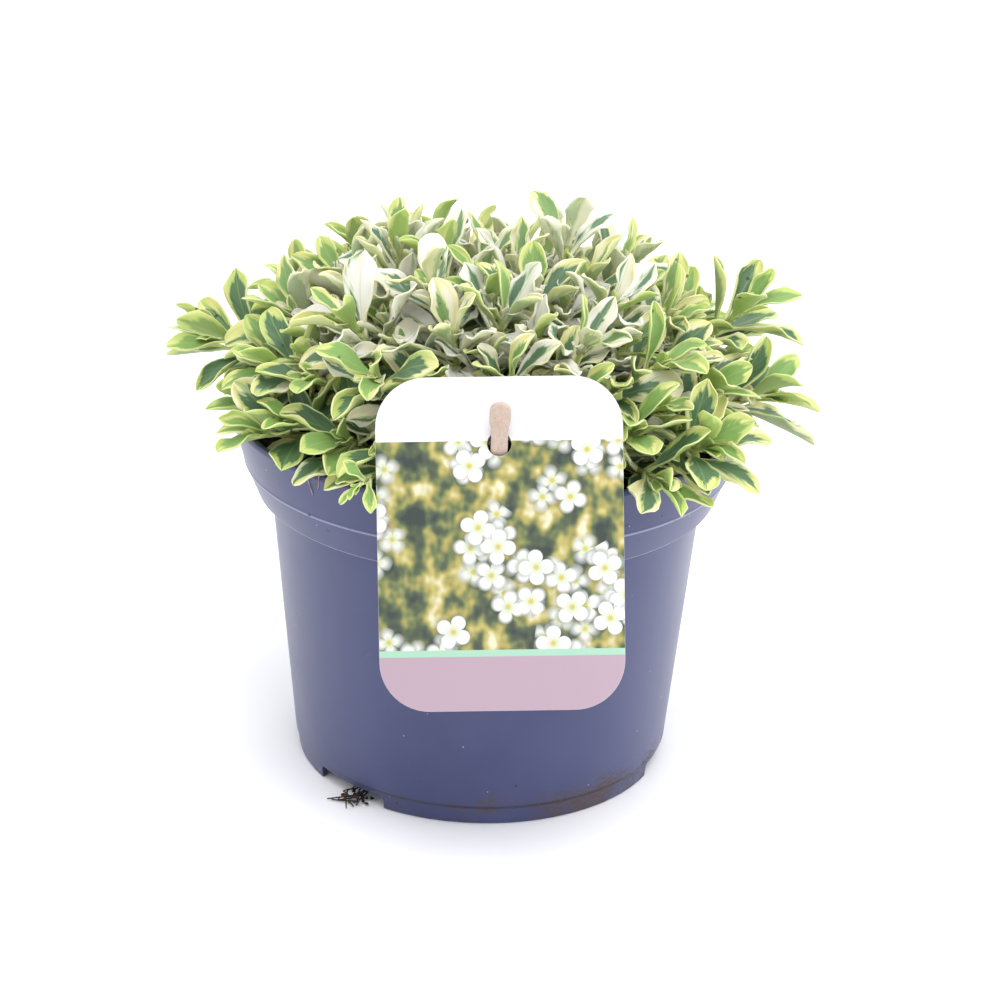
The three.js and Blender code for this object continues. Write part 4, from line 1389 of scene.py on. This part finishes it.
class CRESS_OT_soil(bpy.types.Operator):
    """Replaces the root ball by one with a lumpy top, crumbs and fibres"""

    bl_idname = "cress.soil"
    bl_label = "Peat"

    def execute(self, context):
        settings = context.scene.cress_soil
        rng = np.random.default_rng(SEEDS.soil)
        ball = spun("soil", soil_outline(), context.scene.cress_pot.sides)
        for vertex in ball.data.vertices:
            if vertex.co.z > (SOIL_EDGE - 1) * MM:
                vertex.co.z += lump_height(*vertex.co.xy / MM, settings.roughness / MM) * MM
        smooth_by_angle(ball, SMOOTH.soil)
        reach = COLLAR_LINE.r - CRUMBS.inset
        spots = []
        while len(spots) < settings.crumbs:
            x, y = rng.uniform(-1, 1, 2) * reach
            r = math.hypot(x, y)
            if r < reach:
                size = rng.uniform(*CRUMBS.size) ** CRUMBS.power
                height = soil_height(r) + lump_height(x, y, settings.roughness / MM)
                spots.append(((x, y, height + CRUMBS.up * size), size))
        ball = joined(ball, crumbs_at(spots, rng))
        finish_piece(ball, "root_ball", peat_material(settings, "milled_peat"), "peat", "soil")
        return {"FINISHED"}


class CRESS_OT_roots(bpy.types.Operator):
    """Adds the dark wisp of roots in a cut-out of the skirt and the dry fibres over the rim"""

    bl_idname = "cress.roots"
    bl_label = "Loose roots"

    def execute(self, context):
        rng = np.random.default_rng(SEEDS.roots)
        middle = NOTCHES.first + WISP.at
        routes = []
        for _ in range(WISP.roots):
            turn = middle + rng.uniform(-WISP.spread, WISP.spread)
            start = ring_point(FOOT_RADIUS - rng.uniform(1, 4), turn, rng.uniform(1.5, 3))
            knee = ring_point(FOOT_RADIUS + rng.uniform(1, 3), turn + rng.uniform(-2, 2), rng.uniform(1, 2.4))
            end = ring_point(FOOT_RADIUS + rng.uniform(3, WISP.reach), turn + rng.uniform(-6, 6), 0.4)
            routes += [(start, knee, 0.5), (knee, end, 0.8)]
        wisp = fibre_bunch("wisp", routes, WISP.radii, rng)
        spots = []
        for _ in range(WISP.crumbs):
            turn = middle + rng.uniform(-1.6, 1.6) * WISP.spread
            size = rng.uniform(*WISP.crumb_size)
            spots.append((ring_point(FOOT_RADIUS + rng.uniform(-2, 4), turn, 0.5 * size), size))
        wisp = joined(wisp, crumbs_at(spots, rng))
        dark = peat_material(context.scene.cress_soil, "wet_root_and_peat")
        finish_piece(wisp, "notch_roots", dark, "peat")

        routes = []
        for degrees, drop, slip in RIM_FIBRES:
            top = ring_point(RIM_RADIUS - 3.1, degrees - slip, POT_HEIGHT + 0.5)
            edge = ring_point(RIM_RADIUS + 0.3, degrees, POT_HEIGHT + 0.2)
            share = drop / (POT_HEIGHT - COLLAR_LINE.z)
            low = ring_point(mix(RIM_RADIUS, COLLAR_LINE.r, share) + 0.45, degrees + slip, POT_HEIGHT - drop)
            routes += [(top, edge, 0.2), (edge, low, 0.25)]
        fibres = fibre_bunch("fibres", routes, RIM_FIBRE_RADII, rng)
        finish_piece(fibres, "rim_fibres", fibre_material(), "peat")
        return {"FINISHED"}


class CRESS_OT_label(bpy.types.Operator):
    """Replaces the label by a card with a soft edge and a print"""

    bl_idname = "cress.label"
    bl_label = "Label card"

    def execute(self, context):
        settings = context.scene.cress_label
        card = sheet_cut("card", card_outline(), CARD.thick)
        hole = Vector((0, CARD.hole_up, 0)) * MM
        cut_with(card, [pin(64, CARD_HOLE.radius * MM, CARD_HOLE.cutter * MM, hole)])
        apply_modifier(card, "BEVEL", width=CARD.edge * MM, segments=2, limit_method="ANGLE")
        layer = card.data.uv_layers.active or card.data.uv_layers.new(name="UVMap")
        layer.name = "UVMap"
        low = CARD.above_rim - CARD.height
        for face in card.data.polygons:
            behind = face.normal.z < 0.5
            for corner in face.loop_indices:
                x, y, _ = card.data.vertices[card.data.loops[corner].vertex_index].co / MM
                layer.data[corner].uv = (x / CARD.width + 0.5 - 2 * behind, (y - low) / CARD.height)
        card.data.transform(placed(card_matrix()))
        smooth_by_angle(card, SMOOTH.card)
        finish_piece(card, "printed_card", card_material(settings), "printed_card", "label_card")
        return {"FINISHED"}


class CRESS_OT_stick(bpy.types.Operator):
    """Replaces the stick by a flat wooden one with rounded edges"""

    bl_idname = "cress.stick"
    bl_label = "Stick"

    def execute(self, context):
        settings = context.scene.cress_label
        stick = sheet_cut("stick", stick_outline(), STICK.thick)
        apply_modifier(stick, "BEVEL", width=STICK.edge * MM, segments=3, limit_method="ANGLE")
        stick.data.transform(placed(stick_matrix()))
        smooth_by_angle(stick, SMOOTH.stick)
        finish_piece(stick, "birch_stick", wood_material(settings), "birch_stick", "label_stick")
        return {"FINISHED"}


class CRESS_OT_shoots(bpy.types.Operator):
    """Replaces each shoot by fine leaves on its stem, and fills the gaps with lesser shoots and leaves"""

    bl_idname = "cress.shoots"
    bl_label = "Leafy shoots"

    def execute(self, context):
        settings = context.scene.cress_leaves
        material = leaf_material(settings)
        fine = blade_master("fine_blade", BLADE_ALONG, BLADE_ACROSS)
        plain = blade_master("plain_blade", PLAIN_ALONG, PLAIN_ACROSS)
        tube = stem_master()
        rng = np.random.default_rng(SEEDS.shoots)
        shoots = shoot_list()
        walls = [node_tree(name) for name in ("pot", "label_card", "label_stick")]
        blockers = [(None, wall) for wall in (*walls, node_tree("soil"))]
        for shoot in shoots:
            shoot.found = solid_leaves(shoot)
            for leaf in shoot.found:
                leaf.young = leaf.young or shoot.size < YOUNG_SIZE
            if not shoot.found:
                raise RuntimeError("no leaf of the solid was found on " + shoot.name)
            blockers.append((shoot.crown, coarse_tree(shoot.found)))
        sides = side_shoots(shoots, rng)
        for side in sides:
            side.found = []
            for slot in range(side.leaves):
                ways = (leaf_of(side, slot, attempt) for attempt in range(TRIES.most))
                side.found += first_clear(ways, blockers)
            if side.found:
                blockers.append((side.crown, coarse_tree(side.found)))
        low = {shoot.name: low_leaves(shoot, blockers, rng) for shoot in shoots}
        for shoot in shoots:
            pieces = [add_stem(tube, shoot)]
            for grown in [shoot] + [side for side in sides if side.parent is shoot]:
                share = float(np.hypot(*grown.crown[:2])) / CUSHION.radius
                if grown is not shoot:
                    pieces.append(add_stem(tube, grown))
                for leaf in grown.found:
                    pieces += add_leaf(fine, leaf, tone_of(leaf, share, rng), settings, walls, rng)
                for leaf in crown_leaves(grown, rng):
                    pieces += add_leaf(plain, leaf, tone_of(leaf, share, rng), settings, walls, rng)
            for leaf in low[shoot.name]:
                pieces += add_leaf(plain, leaf, rng.uniform(*FILLERS.tone), settings, walls, rng)
            inner = np.hypot(*shoot.crown[:2]) < CREAM_SHARE * CUSHION.radius
            slot = "leaf_cream" if inner else "leaf_green"
            finish_piece(joined(*pieces), "cress_" + shoot.name, material, slot, shoot.name)
        for master in (fine, plain, tube):
            bpy.data.objects.remove(master)
        return {"FINISHED"}


class CRESS_PT_parts(bpy.types.Panel):
    """Lists the steps that build the potted rock cress"""

    bl_label = "Rock Cress"
    bl_space_type = "VIEW_3D"
    bl_region_type = "UI"
    bl_category = "Rock Cress"

    def draw(self, context):
        for step in STEPS:
            self.layout.operator(step)


STEPS = (
    "cress.stage", "cress.pot", "cress.soil", "cress.roots", "cress.label", "cress.stick", "cress.shoots",
)
GROUPS = {
    "cress_stage": CressStage,
    "cress_pot": CressPot,
    "cress_soil": CressSoil,
    "cress_label": CressLabel,
    "cress_leaves": CressLeaves,
}
OPERATORS = (
    CRESS_OT_stage, CRESS_OT_pot, CRESS_OT_soil, CRESS_OT_roots, CRESS_OT_label, CRESS_OT_stick,
    CRESS_OT_shoots,
)
CLASSES = (*GROUPS.values(), *OPERATORS, CRESS_PT_parts)


def register():
    for cls in CLASSES:
        bpy.utils.register_class(cls)
    for name, group in GROUPS.items():
        setattr(bpy.types.Scene, name, bpy.props.PointerProperty(type=group))


def unregister():
    for name in GROUPS:
        delattr(bpy.types.Scene, name)
    for cls in reversed(CLASSES):
        bpy.utils.unregister_class(cls)


def main():
    register()
    bpy.ops.cress.stage()
    bpy.ops.cress.pot()
    bpy.ops.cress.soil()
    bpy.ops.cress.roots()
    bpy.ops.cress.label()
    bpy.ops.cress.stick()
    bpy.ops.cress.shoots()


if __name__ == "__main__":
    main()
